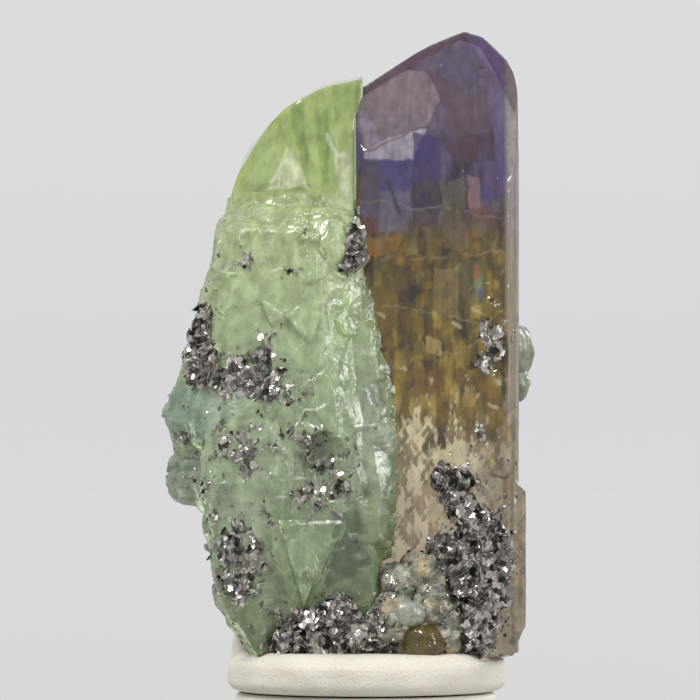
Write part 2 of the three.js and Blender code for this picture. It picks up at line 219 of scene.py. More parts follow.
TANZANITE_PANES = (
    # The three lilac panes: the end facets' own grey lilac, brightened by a painted reflection of the light,
    # palest on the lowest.
    Pane(
        "lilac_facet_reflection",
        (
            (-0.43, 32.02), (0.58, 32.78), (2.74, 32.88), (3.41, 32.06), (3.55, 31.30), (2.83, 30.10),
            (-0.05, 28.90), (-0.43, 30.48),
        ),
        (0.40, 0.32, 0.335), 0.95,
    ),
    Pane("lilac_corner_reflection", ((-0.43, 31.20), (0.29, 30.38), (0.82, 29.23), (-0.05, 28.90)),
         (0.56, 0.48, 0.57), 0.7),
    Pane(
        "lower_lilac_reflection",
        ((-0.05, 28.90), (0.91, 29.42), (2.83, 30.00), (2.74, 29.66), (2.26, 28.46), (-0.05, 28.51)),
        (0.80, 0.73, 0.77), 0.95,
    ),
    Pane("facet_crease", ((-0.05, 28.90), (2.83, 30.10), (2.83, 30.02), (0.0, 28.80)),
         (0.16, 0.11, 0.12), 0.7),
    Pane("mauve_slope", ((2.9, 32.9), (4.6, 32.1), (3.9, 31.0), (3.6, 31.4)), (0.17, 0.09, 0.125), 0.7),
    Pane("violet_top", ((3.0, 33.2), (5.6, 34.6), (6.6, 32.6), (4.9, 32.2)), (0.165, 0.115, 0.27), 0.6),
    Pane("violet_right", ((5.9, 32.2), (7.0, 32.3), (7.0, 28.4), (6.2, 28.4)), (0.22, 0.17, 0.36), 0.65),
    Pane("rosy_middle", ((3.8, 31.2), (5.9, 31.8), (5.8, 29.8), (3.9, 29.6)), (0.20, 0.125, 0.15), 0.7),
    Pane("left_rim", ((-0.7, 31.9), (4.6, 35.2), (4.6, 34.5), (-0.1, 31.65)), (0.46, 0.25, 0.36), 0.85),
    Pane("right_rim", ((4.5, 35.1), (6.2, 34.9), (7.5, 32.3), (7.2, 31.0)), (0.42, 0.26, 0.62), 0.85),
    Pane("blue_pane", ((0.67, 28.46), (2.26, 28.46), (2.02, 26.98), (0.77, 26.98)),
         (0.092, 0.075, 0.292), 0.85),
    Pane("violet_pane", ((2.26, 29.76), (3.46, 29.52), (3.55, 27.50), (2.26, 27.12)),
         (0.070, 0.039, 0.232), 0.85),
    Pane("grey_pane", ((-0.14, 28.46), (0.67, 28.46), (0.67, 26.30), (-0.14, 26.30)),
         (0.102, 0.079, 0.097), 0.8),
    Pane("grey_blue_pane", ((0.67, 26.98), (2.02, 26.98), (2.02, 25.06), (0.67, 25.06)),
         (0.224, 0.208, 0.302), 0.85),
    Pane("navy_stripe", ((0.86, 27.50), (1.10, 27.50), (1.68, 25.97), (1.49, 25.87)),
         (0.022, 0.017, 0.070), 0.85),
    Pane("plum_pane", ((2.26, 27.12), (3.46, 27.26), (3.46, 25.34), (2.26, 25.34)),
         (0.066, 0.045, 0.063), 0.85),
    Pane(
        "maroon_patch", ((3.79, 29.04), (4.75, 29.86), (5.62, 29.52), (5.38, 28.42), (4.27, 28.27)),
        (0.129, 0.052, 0.059), 0.8,
    ),
    Pane("olive_pane", ((3.55, 27.26), (4.61, 27.60), (4.66, 25.58), (3.65, 25.49)),
         (0.186, 0.166, 0.063), 0.9),
    Pane("olive_foot", ((3.65, 25.49), (4.66, 25.58), (4.66, 24.14), (3.65, 24.14)),
         (0.232, 0.153, 0.055), 0.85),
    Pane("pink_pane", ((4.75, 27.74), (5.33, 27.60), (5.52, 25.68), (4.85, 26.26)),
         (0.462, 0.274, 0.248), 0.85),
    Pane("right_violet", ((5.38, 28.32), (6.72, 28.46), (6.72, 27.02), (5.95, 26.64)),
         (0.179, 0.107, 0.292), 0.7),
    Pane("rust_sparks", ((4.99, 26.11), (5.86, 26.30), (5.86, 25.39), (5.09, 25.54)),
         (0.341, 0.079, 0.055), 0.75),
    Pane("left_maroon", ((-0.38, 25.68), (0.62, 25.73), (0.62, 24.82), (-0.38, 24.67)),
         (0.166, 0.042, 0.034), 0.85),
    Pane("amber_pane", ((-0.19, 24.67), (1.54, 24.91), (1.39, 24.05), (-0.24, 23.76)),
         (0.393, 0.186, 0.022), 0.85),
    Pane("brown_pane", ((1.44, 23.38), (2.11, 23.38), (2.02, 20.16), (1.54, 20.16)),
         (0.083, 0.049, 0.020), 0.8),
    Pane("olive_yellow", ((0.14, 22.42), (1.44, 22.46), (1.44, 20.30), (0.48, 20.30)),
         (0.240, 0.166, 0.027), 0.85),
    Pane("tan_striped", ((3.22, 23.38), (4.37, 23.28), (4.42, 20.78), (3.22, 21.36)),
         (0.372, 0.283, 0.140), 0.8),
    Pane("green_grey", ((4.46, 23.66), (5.76, 23.66), (5.66, 21.50), (4.56, 21.84)),
         (0.186, 0.179, 0.107), 0.75),
    # Painted glints: small red, green and blue flashes of light.
    Pane("painted_glint_red", ((4.99, 23.38), (5.28, 23.57), (5.33, 22.80), (5.09, 22.61)),
         (0.635, 0.201, 0.102), 0.8),
    Pane("painted_glint_green", ((5.09, 22.70), (5.47, 22.90), (5.52, 22.32), (5.23, 22.22)),
         (0.351, 0.592, 0.351), 0.8),
    Pane("painted_glint_blue", ((5.23, 22.27), (5.62, 22.42), (5.47, 21.89), (5.28, 21.94)),
         (0.179, 0.257, 0.592), 0.8),
    # Painted glint: a small gold flash of light.
    Pane("painted_gold_glint", ((2.74, 20.06), (3.65, 19.92), (3.65, 19.10), (2.88, 19.25)),
         (0.710, 0.578, 0.240), 0.85),
    Pane("dark_glass", ((1.73, 20.02), (2.59, 19.92), (2.78, 19.15), (1.82, 18.96)),
         (0.102, 0.063, 0.018), 0.8),
    Pane("honey_pane", ((2.16, 18.48), (3.74, 18.58), (3.74, 17.33), (2.16, 17.18)),
         (0.208, 0.088, 0.009), 0.85),
    Pane("brown_window", ((1.44, 16.22), (2.64, 16.32), (2.74, 15.46), (1.54, 15.36)),
         (0.166, 0.088, 0.024), 0.85),
    Pane("tan_low", ((2.21, 12.86), (4.03, 13.01), (3.98, 10.90), (2.26, 10.80)),
         (0.450, 0.331, 0.179), 0.8),
)
DIOPSIDE_ZONES = (
    Zone("tip_left", (-4.99, 28.56), (0.77, 1.63), 22, (0.36, 0.49, 0.20), 0.6),
    Zone("bright_streak", (-1.15, 20.64), (0.38, 1.15), -6, (0.305, 0.491, 0.162), 0.6),
    Zone("white_mottle", (0.29, 15.84), (0.58, 2.40), 4, (0.515, 0.578, 0.445), 0.6),
    # Painted shade: dark green in the front hollow, and near black in the hole at the shelf.
    Zone("shaded_hollow", (-2.35, 14.54), (0.82, 0.82), 0, (0.089, 0.117, 0.072), 0.8),
    Zone("shaded_shelf_hole", (-5.14, 19.20), (0.48, 0.34), 0, (0.025, 0.023, 0.021), 0.9),
    Zone("bluish_cluster", (-8.45, 16.46), (1.25, 1.44), 0, (0.254, 0.352, 0.305), 0.7),
    Zone("low_cluster", (-8.54, 13.10), (1.06, 1.34), 0, (0.270, 0.352, 0.262), 0.6),
    Zone("pale_striae", (-6.77, 16.85), (0.96, 0.77), 0, (0.503, 0.578, 0.479), 0.6),
    Zone("speckled_pale", (-6.05, 11.52), (1.15, 1.15), 0, (0.434, 0.503, 0.352), 0.6),
    Zone("ribbed", (-5.09, 6.24), (0.96, 1.25), 0, (0.238, 0.314, 0.162), 0.6),
)
DIOPSIDE_PANES = (
    # Painted reflection: the pale window inside the clear tip.
    Pane("tip_reflection_window", ((-3.74, 29.09), (-4.80, 27.07), (-2.74, 27.07), (-3.17, 28.32)),
         (0.78, 0.83, 0.54), 0.9),
    Pane("tip_streak_left", ((-3.66, 30.9), (-3.0, 31.3), (-2.66, 27.1), (-2.9, 27.2)),
         (0.20, 0.33, 0.075), 0.6),
    Pane("tip_streak_right", ((-2.5, 30.3), (-1.8, 31.0), (-1.84, 27.3), (-2.06, 27.0)),
         (0.20, 0.33, 0.075), 0.6),
    Pane("tip_corner", ((-1.73, 32.78), (-0.77, 33.07), (-0.77, 30.96), (-1.44, 30.24)),
         (0.25, 0.37, 0.11), 0.6),
    Pane("tip_pale_strip", ((-1.54, 28.56), (-0.72, 29.04), (-0.67, 26.06), (-1.34, 26.4)),
         (0.72, 0.78, 0.50), 0.85),
    Pane("tip_white_line", ((-2.06, 29.66), (-1.87, 29.74), (-1.26, 28.66), (-1.44, 28.50)),
         (0.85, 0.90, 0.70), 0.8),
    # Painted light and shade low down: a big facet lit paler, and painted shade in the recess beside it.
    Pane("lit_facet_wedge", ((-4.75, 12.53), (-1.34, 12.10), (-2.74, 7.54), (-3.94, 8.50)),
         (0.36, 0.46, 0.26), 0.4),
    Pane("shaded_recess", ((-1.54, 11.62), (-0.38, 11.86), (0.34, 9.22), (-2.02, 8.02)),
         (0.08, 0.12, 0.06), 0.75),
)
# Colour by height: z and linear colour, from the bottom up.
TANZANITE_BANDS = (
    (5.0, (0.440, 0.310, 0.185)), (10.0, (0.470, 0.345, 0.205)), (13.5, (0.450, 0.350, 0.225)),
    (16.0, (0.370, 0.270, 0.095)), (18.5, (0.265, 0.180, 0.034)), (21.5, (0.240, 0.172, 0.032)),
    (24.0, (0.210, 0.140, 0.034)), (25.2, (0.170, 0.118, 0.080)), (26.6, (0.138, 0.105, 0.150)),
    (28.6, (0.140, 0.105, 0.172)), (30.5, (0.205, 0.162, 0.205)), (34.8, (0.185, 0.125, 0.190)),
)
# Colours of the inner windows by height: height, then six linear colours.
TANZANITE_WINDOWS = (
    (12.0, (
        (0.42, 0.34, 0.22), (0.30, 0.20, 0.10), (0.48, 0.42, 0.30), (0.20, 0.12, 0.05), (0.40, 0.30, 0.17),
        (0.52, 0.46, 0.34),
    )),
    (17.5, (
        (0.20, 0.10, 0.012), (0.09, 0.055, 0.012), (0.42, 0.33, 0.12), (0.15, 0.11, 0.02), (0.31, 0.21, 0.04),
        (0.48, 0.39, 0.21),
    )),
    (22.0, (
        (0.20, 0.15, 0.02), (0.06, 0.038, 0.01), (0.46, 0.37, 0.15), (0.10, 0.07, 0.015), (0.30, 0.21, 0.03),
        (0.18, 0.13, 0.05),
    )),
    (24.6, (
        (0.26, 0.16, 0.03), (0.10, 0.06, 0.03), (0.24, 0.19, 0.07), (0.13, 0.09, 0.06), (0.24, 0.21, 0.22),
        (0.12, 0.05, 0.03),
    )),
    (26.8, (
        (0.08, 0.055, 0.21), (0.04, 0.026, 0.12), (0.20, 0.17, 0.25), (0.17, 0.13, 0.06), (0.11, 0.08, 0.20),
        (0.24, 0.16, 0.14),
    )),
    (28.8, (
        (0.10, 0.075, 0.26), (0.09, 0.05, 0.14), (0.14, 0.10, 0.20), (0.12, 0.06, 0.08), (0.16, 0.12, 0.26),
        (0.11, 0.07, 0.13),
    )),
    (31.0, (
        (0.20, 0.16, 0.22), (0.15, 0.10, 0.20), (0.23, 0.18, 0.23), (0.17, 0.11, 0.16), (0.19, 0.14, 0.24),
        (0.14, 0.09, 0.17),
    )),
)
DIOPSIDE_BANDS = (
    (5.0, (0.240, 0.300, 0.150)), (9.0, (0.275, 0.345, 0.190)), (13.0, (0.350, 0.425, 0.265)),
    (18.0, (0.420, 0.520, 0.300)), (23.0, (0.520, 0.620, 0.340)), (26.2, (0.500, 0.590, 0.290)),
    (27.0, (0.460, 0.560, 0.205)), (32.7, (0.410, 0.510, 0.175)),
)
# Colours of the stones in the cream matrix.
MATRIX_COLOURS = (
    (0.56, 0.51, 0.37), (0.36, 0.39, 0.27), (0.46, 0.38, 0.24), (0.64, 0.60, 0.47), (0.26, 0.265, 0.20),
    (0.45, 0.47, 0.35),
)
# The hollow in the front of the big green crystal.
DIOPSIDE_HOLLOW = Lump((-1.9, -4.75, 13.9), (0.95, 0.5, 1.75), 6)
# Etched pits in the prism's sloping end: x and z of each, and their half width and half height.
ETCHED_PITS = (
    (3.46, 33.95), (4.03, 33.9), (5.0, 34.25), (5.15, 33.85), (5.57, 32.98), (4.5, 33.5), (5.3, 33.5),
)
PIT_SIZE = (0.17, 0.13)
# Healed fractures across the prism: height on its axis, slope and half width.
HEALED_FRACTURES = ((23.9, 0.05, 0.07), (21.1, -0.22, 0.05), (19.2, 0.3, 0.04), (26.0, -0.12, 0.03))
# Each arc of the putty and the foot: its middle as radius and height, its own radius, first and last angle.
PUTTY_ARCS = ((6.1, 3.63, 0.55, -90.0, 0.0), (5.6, 3.95, 1.05, 10.0, 90.0))
FOOT_ARCS = ((6.0, 0.25, 0.25, -90.0, 0.0), (6.0, 2.75, 0.25, 0.0, 90.0))
# Banks of putty pressed up behind the crystals: the middle and the half sizes of each.
PUTTY_BANKS = (
    ((-4.5, 2.0, 4.6), (2.2, 2.3, 2.1)),
    ((-0.8, 3.7, 4.6), (3.2, 2.0, 1.5)),
    ((3.9, 3.2, 4.6), (2.5, 2.0, 1.0)),
)
# Thin graphite patches: the crystal that each lies on, and flakes for each square millimetre.
GRAPHITE_PATCHES = {
    "graphite_low_left": ("diopside", 19.0),
    "graphite_cluster": ("diopside", 17.0),
    "graphite_hollow": ("diopside", 16.0),
    "graphite_shelf": ("diopside", 34.0),
    "graphite_upper_right": ("tanzanite", 17.0),
}
# The crumbly edge of the big green crystal against the prism, as x, z, half width and half height.
SEAM_SPOTS = (
    (-0.35, 25.2, 0.22, 1.2), (-0.1, 23.6, 0.28, 1.0), (0.35, 22.3, 0.3, 1.0), (0.7, 21.0, 0.32, 1.0),
    (1.0, 19.6, 0.32, 0.9), (1.25, 18.0, 0.28, 0.9), (1.4, 16.4, 0.2, 0.8),
)
# Where graphite dust is thick on each crystal: x, z, half width and half height.
DUST_SPOTS = {
    "diopside": (
        (-7.9, 19.6, 0.7, 1.9), (-6.9, 17.9, 1.0, 0.8), (-5.4, 18.2, 1.7, 0.8), (-4.4, 17.2, 1.2, 0.5),
        (-6.6, 14.9, 1.5, 0.6), (-5.2, 15.4, 1.2, 0.8), (-7.4, 13.2, 0.7, 0.6), (-2.1, 13.4, 1.2, 1.0),
        (-6.2, 9.2, 0.8, 1.6), (-5.6, 11.2, 1.0, 0.6), (-2.6, 6.4, 2.4, 0.9), (-0.6, 24.2, 0.25, 1.0),
        (-5.7, 23.7, 0.3, 0.4), (-7.2, 23.4, 0.25, 0.35), (-3.6, 23.2, 0.4, 0.15), (-4.6, 20.2, 0.5, 0.3),
        (-0.2, 23.0, 0.5, 0.3), (-3.4, 15.6, 1.5, 0.5), (-2.6, 14.4, 0.9, 1.2), (-8.2, 13.6, 0.6, 0.6),
        (-8.6, 15.2, 0.5, 0.4), (-6.9, 11.6, 0.8, 0.5),
    ),
    "tanzanite": (
        (5.3, 9.6, 1.2, 3.4), (4.6, 13.4, 0.8, 1.0), (3.4, 8.9, 1.2, 0.8), (6.0, 19.8, 0.45, 1.0),
        (5.8, 21.4, 0.3, 0.5), (5.6, 6.2, 0.9, 1.4), (5.5, 15.2, 0.3, 0.9),
    ),
    "matrix": ((1.4, 8.4, 1.2, 0.7), (3.2, 8.0, 0.8, 1.2), (0.7, 6.6, 0.7, 0.9), (3.4, 6.2, 0.6, 0.9)),
}


def outward(azimuth: Array, elevation: Array) -> Array:
    """Unit normals for azimuths and elevations in degrees: cosine and sine of each, combined.

    Args:
        azimuth: Angles about the upright from +X.
        elevation: Angles above the horizon.

    Returns:
        An array with a last axis of three.
    """
    a, e = np.broadcast_arrays(np.radians(azimuth), np.radians(elevation))
    return np.stack([np.cos(e) * np.cos(a), np.cos(e) * np.sin(a), np.sin(e)], axis=-1)


def smoothstep(low: float, high: float, value: Array) -> Array:
    """0 below low, 1 above high, and an S curve of three t squared less two t cubed between them."""
    t = np.clip((value - low) / (high - low), 0.0, 1.0)
    return t * t * (3.0 - 2.0 * t)


def hashed(cells: Array, seed: int) -> Array:
    """A repeatable number from 0 to 1 for each whole-number place, by mixing bits.

    Args:
        cells: Whole numbers with a last axis of three.
        seed: Which set of numbers.

    Returns:
        One number per place.
    """
    c = cells.astype(np.int64)
    mixed = c[..., 0] * 73856093 ^ c[..., 1] * 19349663 ^ c[..., 2] * 83492791 ^ (seed * 2654435761)
    mixed = (mixed ^ (mixed >> 13)) * 1274126177 & 0x7FFFFFFF
    mixed = (mixed ^ (mixed >> 15)) * 668265263 & 0x7FFFFFFF
    return ((mixed ^ (mixed >> 11)) & 0xFFFF) / 65535.0


def noise(points: Array, size: tuple[float, float, float], seed: int, octaves: int = 3) -> Array:
    """Smooth noise: random values on a lattice, blended by an S curve, with finer lattices at half strength.

    Args:
        points: Places in millimetres, with a last axis of three.
        size: Spacing of the coarsest lattice along each axis.
        seed: Which noise.
        octaves: How many lattices, each twice as fine.

    Returns:
        Values about 0, from about -1 to 1.
    """
    total = np.zeros(points.shape[:-1])
    weight = 0.0
    for octave in range(octaves):
        place = points / np.array(size) * 2.0**octave
        base = np.floor(place)
        part = place - base
        part = part * part * (3.0 - 2.0 * part)
        value = np.zeros_like(total)
        for corner in np.ndindex(2, 2, 2):
            share = np.prod(np.where(np.array(corner) == 1, part, 1.0 - part), axis=-1)
            value += share * hashed(base + np.array(corner), seed + 17 * octave)
        total += (value * 2.0 - 1.0) * 0.5**octave
        weight += 0.5**octave
    return total / weight * 1.4


def grains(points: Array, size: tuple[float, float, float], seed: int) -> tuple[Array, Array, Array]:
    """Nearest scattered grain to each point: one grain lies at random in each cube of a lattice.

    Args:
        points: Places in millimetres, with a last axis of three.
        size: Spacing of the lattice along each axis.
        seed: Which scatter.

    Returns:
        The distance to the nearest grain in lattice units, the offset from it, and the grain's random number.
    """
    place = points / np.array(size)
    base = np.floor(place)
    nearest = np.full(points.shape[:-1], np.inf)
    offset = np.zeros_like(points)
    number = np.zeros(points.shape[:-1])
    for step in np.ndindex(3, 3, 3):
        cube = base + np.array(step) - 1.0
        middle = cube + np.stack([hashed(cube, seed + k) for k in range(3)], axis=-1)
        apart = place - middle
        distance = np.linalg.norm(apart, axis=-1)
        closer = distance < nearest
        nearest = np.where(closer, distance, nearest)
        offset = np.where(closer[..., None], apart, offset)
        number = np.where(closer, hashed(cube, seed + 9), number)
    return nearest, offset, number


def chipped(distance: Array, apart: Array, number: Array) -> Array:
    """Chipped faces: each grain is a plane, tilted its own way by its random number.

    Args:
        distance: Distance to the nearest grain, which the height doesn't depend on.
        apart: Offset from it.
        number: Its random number.

    Returns:
        A height per point, in lattice units.
    """
    return (apart * outward(number * 360.0, 60.0 * np.sin(number * 50.0))).sum(axis=-1)


def lump_cell(lump: Lump, sides: int = 9, power: float = 3.0) -> Cell:
    """Rings of flat faces that all touch a superellipsoid of the lump's half sizes.

    Args:
        lump: The rounded block.
        sides: Faces in each ring.
        power: 2 is an ellipsoid, and more is squarer.

    Returns:
        The block as a cell.
    """
    dual = power / (power - 1.0)
    faces: list[Face] = []
    for elevation in (-90, -55, -20, 15, 50, 90):
        count = 1 if abs(elevation) == 90 else sides
        azimuth = np.arange(count) * 360.0 / count + elevation
        normal = outward(azimuth, np.full(count, elevation))
        reach = (np.abs(normal * np.array(lump.half)) ** dual).sum(axis=-1)
        faces += [
            (float(a) + lump.turn, float(elevation), float(r)) for a, r in zip(azimuth, reach ** (1.0 / dual))
        ]
    return Cell(lump.middle, tuple(faces))


def cell_span(cell: Cell, origin: Array, ray: Array, soft: float, grow: float = 0.0) -> tuple[Array, Array]:
    """Where rays enter and leave a cell.

    A ray enters at the greatest distance to a plane that faces it, and leaves at the least to another.

    Args:
        cell: The convex cell.
        origin: Start of each ray.
        ray: Unit direction of each ray.
        soft: How far its edges are rounded, in millimetres.
        grow: How far each face is moved outwards.

    Returns:
        The distances of entering and leaving, with leaving 0 where a ray misses.
    """
    table = np.array(cell.faces, float)
    normal = outward(table[:, 0], table[:, 1])
    room = table[:, 2] + grow - (origin - np.array(cell.middle)) @ normal.T
    along = ray @ normal.T
    safe = np.where(np.abs(along) < 1e-6, 1e-6, along)
    distance = room / safe
    leaving = np.where(along > 1e-6, distance, np.inf)
    entering = np.where(along < -1e-6, distance, -np.inf).max(axis=-1)
    least = leaving.min(axis=-1)
    if soft > 0:
        spread = np.exp(-np.clip((leaving - least[..., None]) / soft, 0.0, 60.0)).sum(axis=-1)
        rounded = least - soft * np.log(spread)
    else:
        rounded = least
    beside = ((np.abs(along) <= 1e-6) & (room < 0)).any(axis=-1)
    hit = (entering < least) & (least > 0) & ~beside
    return np.where(hit, entering, np.inf), np.where(hit, rounded, 0.0)


@dataclass
class CrystalSkin:
    """A closed skin round a crystal, worked out as rays that leave a bent axis.

    The first parameter runs along the axis: it fans up from straight down at the low end, runs level along
    the axis and fans up to straight up at the high end. The second is the angle about the axis. The skin
    lies where each ray leaves the last cell that it meets, or just before it would enter a neighbour.

    Attributes:
        cells: The convex cells of the crystal.
        axis: Points of the axis, from low to high.
        rings: How many rings lie in the low fan, along the axis and in the high fan.
        turns: How many points lie on each ring.
        neighbours: Cells of pieces that the skin has to stay clear of.
        hollows: Cells that are cut out where they lie nearer than the skin.
        soft: How far the edges are rounded.
        front: How much closer together the points lie towards the front, as a share.
    """

    cells: tuple[Cell, ...]
    axis: tuple[Point, ...]
    rings: tuple[int, int, int] = (20, 220, 60)
    turns: int = 300
    neighbours: tuple[Cell, ...] = ()
    hollows: tuple[Cell, ...] = ()
    soft: float = 0.03
    front: float = 0.5
    origin: Array = field(init=False)
    ray: Array = field(init=False)
    reach: Array = field(init=False)

    def __post_init__(self) -> None:
        """Works out every ray's start, its direction and its reach."""
        low, middle, high = self.rings
        points = np.array(self.axis)
        length = np.concatenate([[0.0], np.cumsum(np.linalg.norm(np.diff(points, axis=0), axis=1))])
        whole = length[-1]
        place = np.concatenate([np.zeros(low), np.linspace(0.0, whole, middle), np.full(high, whole)])
        from_below = np.linspace(-90.0, 0.0, low, endpoint=False)
        to_above = np.linspace(90.0, 0.0, high, endpoint=False)[::-1]
        tilt = np.concatenate([from_below, np.zeros(middle), to_above])
        start = np.stack([np.interp(place, length, points[:, k]) for k in range(3)], axis=-1)
        turn = np.linspace(0.0, 360.0, self.turns, endpoint=False)
        turn = turn - math.degrees(self.front) * np.sin(np.radians(turn + 90.0))
        self.ray = outward(turn[None, :], tilt[:, None])
        self.origin = np.broadcast_to(start[:, None, :], self.ray.shape)
        self.reach = self.cast()

    def cast(self) -> Array:
        """Distance along each ray to the skin.

        Returns:
            One distance per ring and turn.
        """
        reach = np.full(self.ray.shape[:-1], 0.05)
        for cell in self.cells:
            _, leave = cell_span(cell, self.origin, self.ray, self.soft)
            reach = np.maximum(reach, leave)
        for cell in self.hollows:
            enter, leave = cell_span(cell, self.origin, self.ray, 0.0)
            cut = (enter < reach) & (leave > reach)
            reach = np.where(cut, np.maximum(enter, 0.2), reach)
        return self.clear(reach)

    def clear(self, reach: Array) -> Array:
        """Draws the reach back to where a ray would enter a neighbour grown by the contact gap.

        Args:
            reach: One distance per ring and turn.

        Returns:
            The distances, none of them longer than before.
        """
        for cell in self.neighbours:
            enter, _ = cell_span(cell, self.origin, self.ray, 0.0, CONTACT_GAP)
            reach = np.minimum(reach, np.where(enter > 0, enter, np.inf))
        return reach

    def points(self) -> Array:
        """Places of the skin in millimetres, per ring and turn."""
        return self.origin + self.ray * self.reach[..., None]

    def fronting(self) -> Array:
        """Share of facing the front, from the cross product of the grid's two directions.

        Returns:
            1 where the skin faces the front and 0 where it faces away, per ring and turn.
        """
        points = self.points()
        along = np.gradient(points, axis=0)
        around = np.roll(points, -1, axis=1) - np.roll(points, 1, axis=1)
        normal = np.cross(around, along)
        normal /= np.linalg.norm(normal, axis=-1, keepdims=True) + 1e-12
        return 1.0 - smoothstep(-0.12, 0.12, normal[..., 1])

    def rise(self, amount: Array) -> None:
        """Moves the skin along its rays by an amount in millimetres, still clear of its neighbours."""
        self.reach = self.clear(np.maximum(self.reach + amount, 0.05))


def ring_mesh(name: str, points: Array) -> bpy.types.Object:
    """A closed skin from rings of points: quads between rings, and a fan to the middle of each end ring.

    Args:
        name: The piece's name.
        points: Rings by turns by three, in millimetres, anticlockwise and from low to high.

    Returns:
        The new object, at the origin.
    """
    rings, turns = points.shape[:2]
    ends = np.stack([points[0].mean(axis=0), points[-1].mean(axis=0)])
    places = np.concatenate([points.reshape(-1, 3), ends])
    index = np.arange(rings * turns).reshape(rings, turns)
    here, right = index[:-1], np.roll(index, -1, axis=1)[:-1]
    above, above_right = index[1:], np.roll(index, -1, axis=1)[1:]
    quads = np.stack([here, right, above_right, above], axis=-1).reshape(-1, 4)
    low = np.stack([np.roll(index[0], -1), index[0], np.full(turns, rings * turns)], axis=-1)
    high = np.stack([index[-1], np.roll(index[-1], -1), np.full(turns, rings * turns + 1)], axis=-1)
    return mesh_object(name, places, [quads, low, high])


def mesh_object(name: str, places: Array, faces: list[Array], smooth: bool = True) -> bpy.types.Object:
    """An object from points and blocks of faces, each block with one number of corners.

    Args:
        name: The object's name.
        places: Points in millimetres.
        faces: Arrays of point numbers, one array for each number of corners.
        smooth: Whether faces are shaded as one surface.

    Returns:
        The new object, linked to the scene and at the origin.
    """
    mesh = bpy.data.meshes.new(name)
    corners = np.concatenate([block.reshape(-1) for block in faces]).astype(np.int32)
    totals = np.concatenate([np.full(len(block), block.shape[1]) for block in faces])
    starts = np.concatenate([[0], np.cumsum(totals)[:-1]]).astype(np.int32)
    mesh.vertices.add(len(places))
    mesh.vertices.foreach_set("co", (places * MM).astype(np.float32).ravel())
    mesh.loops.add(len(corners))
    mesh.loops.foreach_set("vertex_index", corners)
    mesh.polygons.add(len(totals))
    mesh.polygons.foreach_set("loop_start", starts)
    mesh.polygons.foreach_set("use_smooth", np.full(len(totals), smooth))
    mesh.update(calc_edges=True)
    mesh.validate()
    made = bpy.data.objects.new(name, mesh)
    bpy.context.scene.collection.objects.link(made)
    return made


def paint(piece: bpy.types.Object, name: str, values: Array) -> None:
    """Stores a colour or a number per point, for the piece's material to read.

    Args:
        piece: The piece.
        name: The attribute's name.
        values: One colour of three, or one number, per ring and turn. The two end points take the mean of
            their ring.
    """
    colour = values.ndim == 3
    flat = values.reshape(-1, 3) if colour else values.reshape(-1)
    ends = np.stack([values[0].mean(axis=0), values[-1].mean(axis=0)])
    full = np.concatenate([flat, ends])
    if colour:
        layer = piece.data.attributes.new(name, "FLOAT_COLOR", "POINT")
        opaque = np.column_stack([full, np.ones(len(full))])
        layer.data.foreach_set("color", opaque.astype(np.float32).ravel())
    else:
        layer = piece.data.attributes.new(name, "FLOAT", "POINT")
        layer.data.foreach_set("value", full.astype(np.float32))


def banded(z: Array, bands: tuple[tuple[float, Colour], ...]) -> Array:
    """Colour by height, blended in a straight line between the bands' heights."""
    heights = [height for height, _ in bands]
    return np.stack([np.interp(z, heights, [colour[k] for _, colour in bands]) for k in range(3)], axis=-1)


def zoned(
    points: Array, colour: Array, zones: tuple[Zone, ...], warp: float, edge: float, seed: int
) -> Array:
    """Lays zones over a colour. A zone is a squared-off ellipse across x and z with a noisy edge.

    Args:
        points: Places in millimetres.
        colour: The colour so far.
        zones: The zones, later ones on top.
        warp: How far noise shifts the edges, in millimetres.
        edge: Share of a zone's size over which its edge fades.
        seed: Which noise.

    Returns:
        The new colour.
    """
    shift_x = noise(points, (0.9, 3.0, 0.9), seed, 3) * warp
    shift_z = noise(points, (0.5, 3.0, 1.4), seed + 5, 3) * warp * 1.6
    for zone in zones:
        x = points[..., 0] + shift_x - zone.place[0]
        z = points[..., 2] + shift_z - zone.place[1]
        turn = math.radians(zone.turn)
        along = (x * math.cos(turn) + z * math.sin(turn)) / zone.half[0]
        up = (-x * math.sin(turn) + z * math.cos(turn)) / zone.half[1]
        distance = (np.abs(along) ** 3 + np.abs(up) ** 3) ** (1 / 3)
        share = (1.0 - smoothstep(1.0 - edge, 1.0 + edge, distance)) * zone.strength
        colour = colour + (np.array(zone.colour) - colour) * share[..., None]
    return colour


def paned(
    points: Array, colour: Array, panes: tuple[Pane, ...], warp: float, edge: float, seed: int
) -> Array:
    """Lays panes over a colour. A pane covers where the least distance inside its edges is above nothing.

    Args:
        points: Places in millimetres.
        colour: The colour so far.
        panes: The panes, later ones on top.
        warp: How far noise shifts the edges, in millimetres.
        edge: Half the width over which an edge fades, in millimetres.
        seed: Which noise.

    Returns:
        The new colour.
    """
    x = points[..., 0] + noise(points, (0.5, 3.0, 0.8), seed, 3) * warp
    z = points[..., 2] + noise(points, (0.5, 3.0, 0.8), seed + 3, 3) * warp
    grain = noise(points, (0.16, 2.0, 1.1), seed + 6, 3) + noise(points, (0.3, 2.0, 0.35), seed + 9, 3)
    for pane in panes:
        corners = np.array(pane.corners)
        after = np.roll(corners, -1, axis=0)
        sides = after - corners
        turned = np.sign((corners[:, 0] * after[:, 1] - after[:, 0] * corners[:, 1]).sum())
        inward = np.stack([-sides[:, 1], sides[:, 0]], axis=-1) * turned
        inward /= np.linalg.norm(inward, axis=1, keepdims=True)
        depth = (x[..., None] - corners[:, 0]) * inward[:, 0] + (z[..., None] - corners[:, 1]) * inward[:, 1]
        share = smoothstep(-edge, edge, depth.min(axis=-1)) * pane.strength
        own = np.array(pane.colour) * np.clip(1.0 + 0.3 * grain, 0.2, 1.8)[..., None]
        colour = colour + (own - colour) * share[..., None]
    return colour


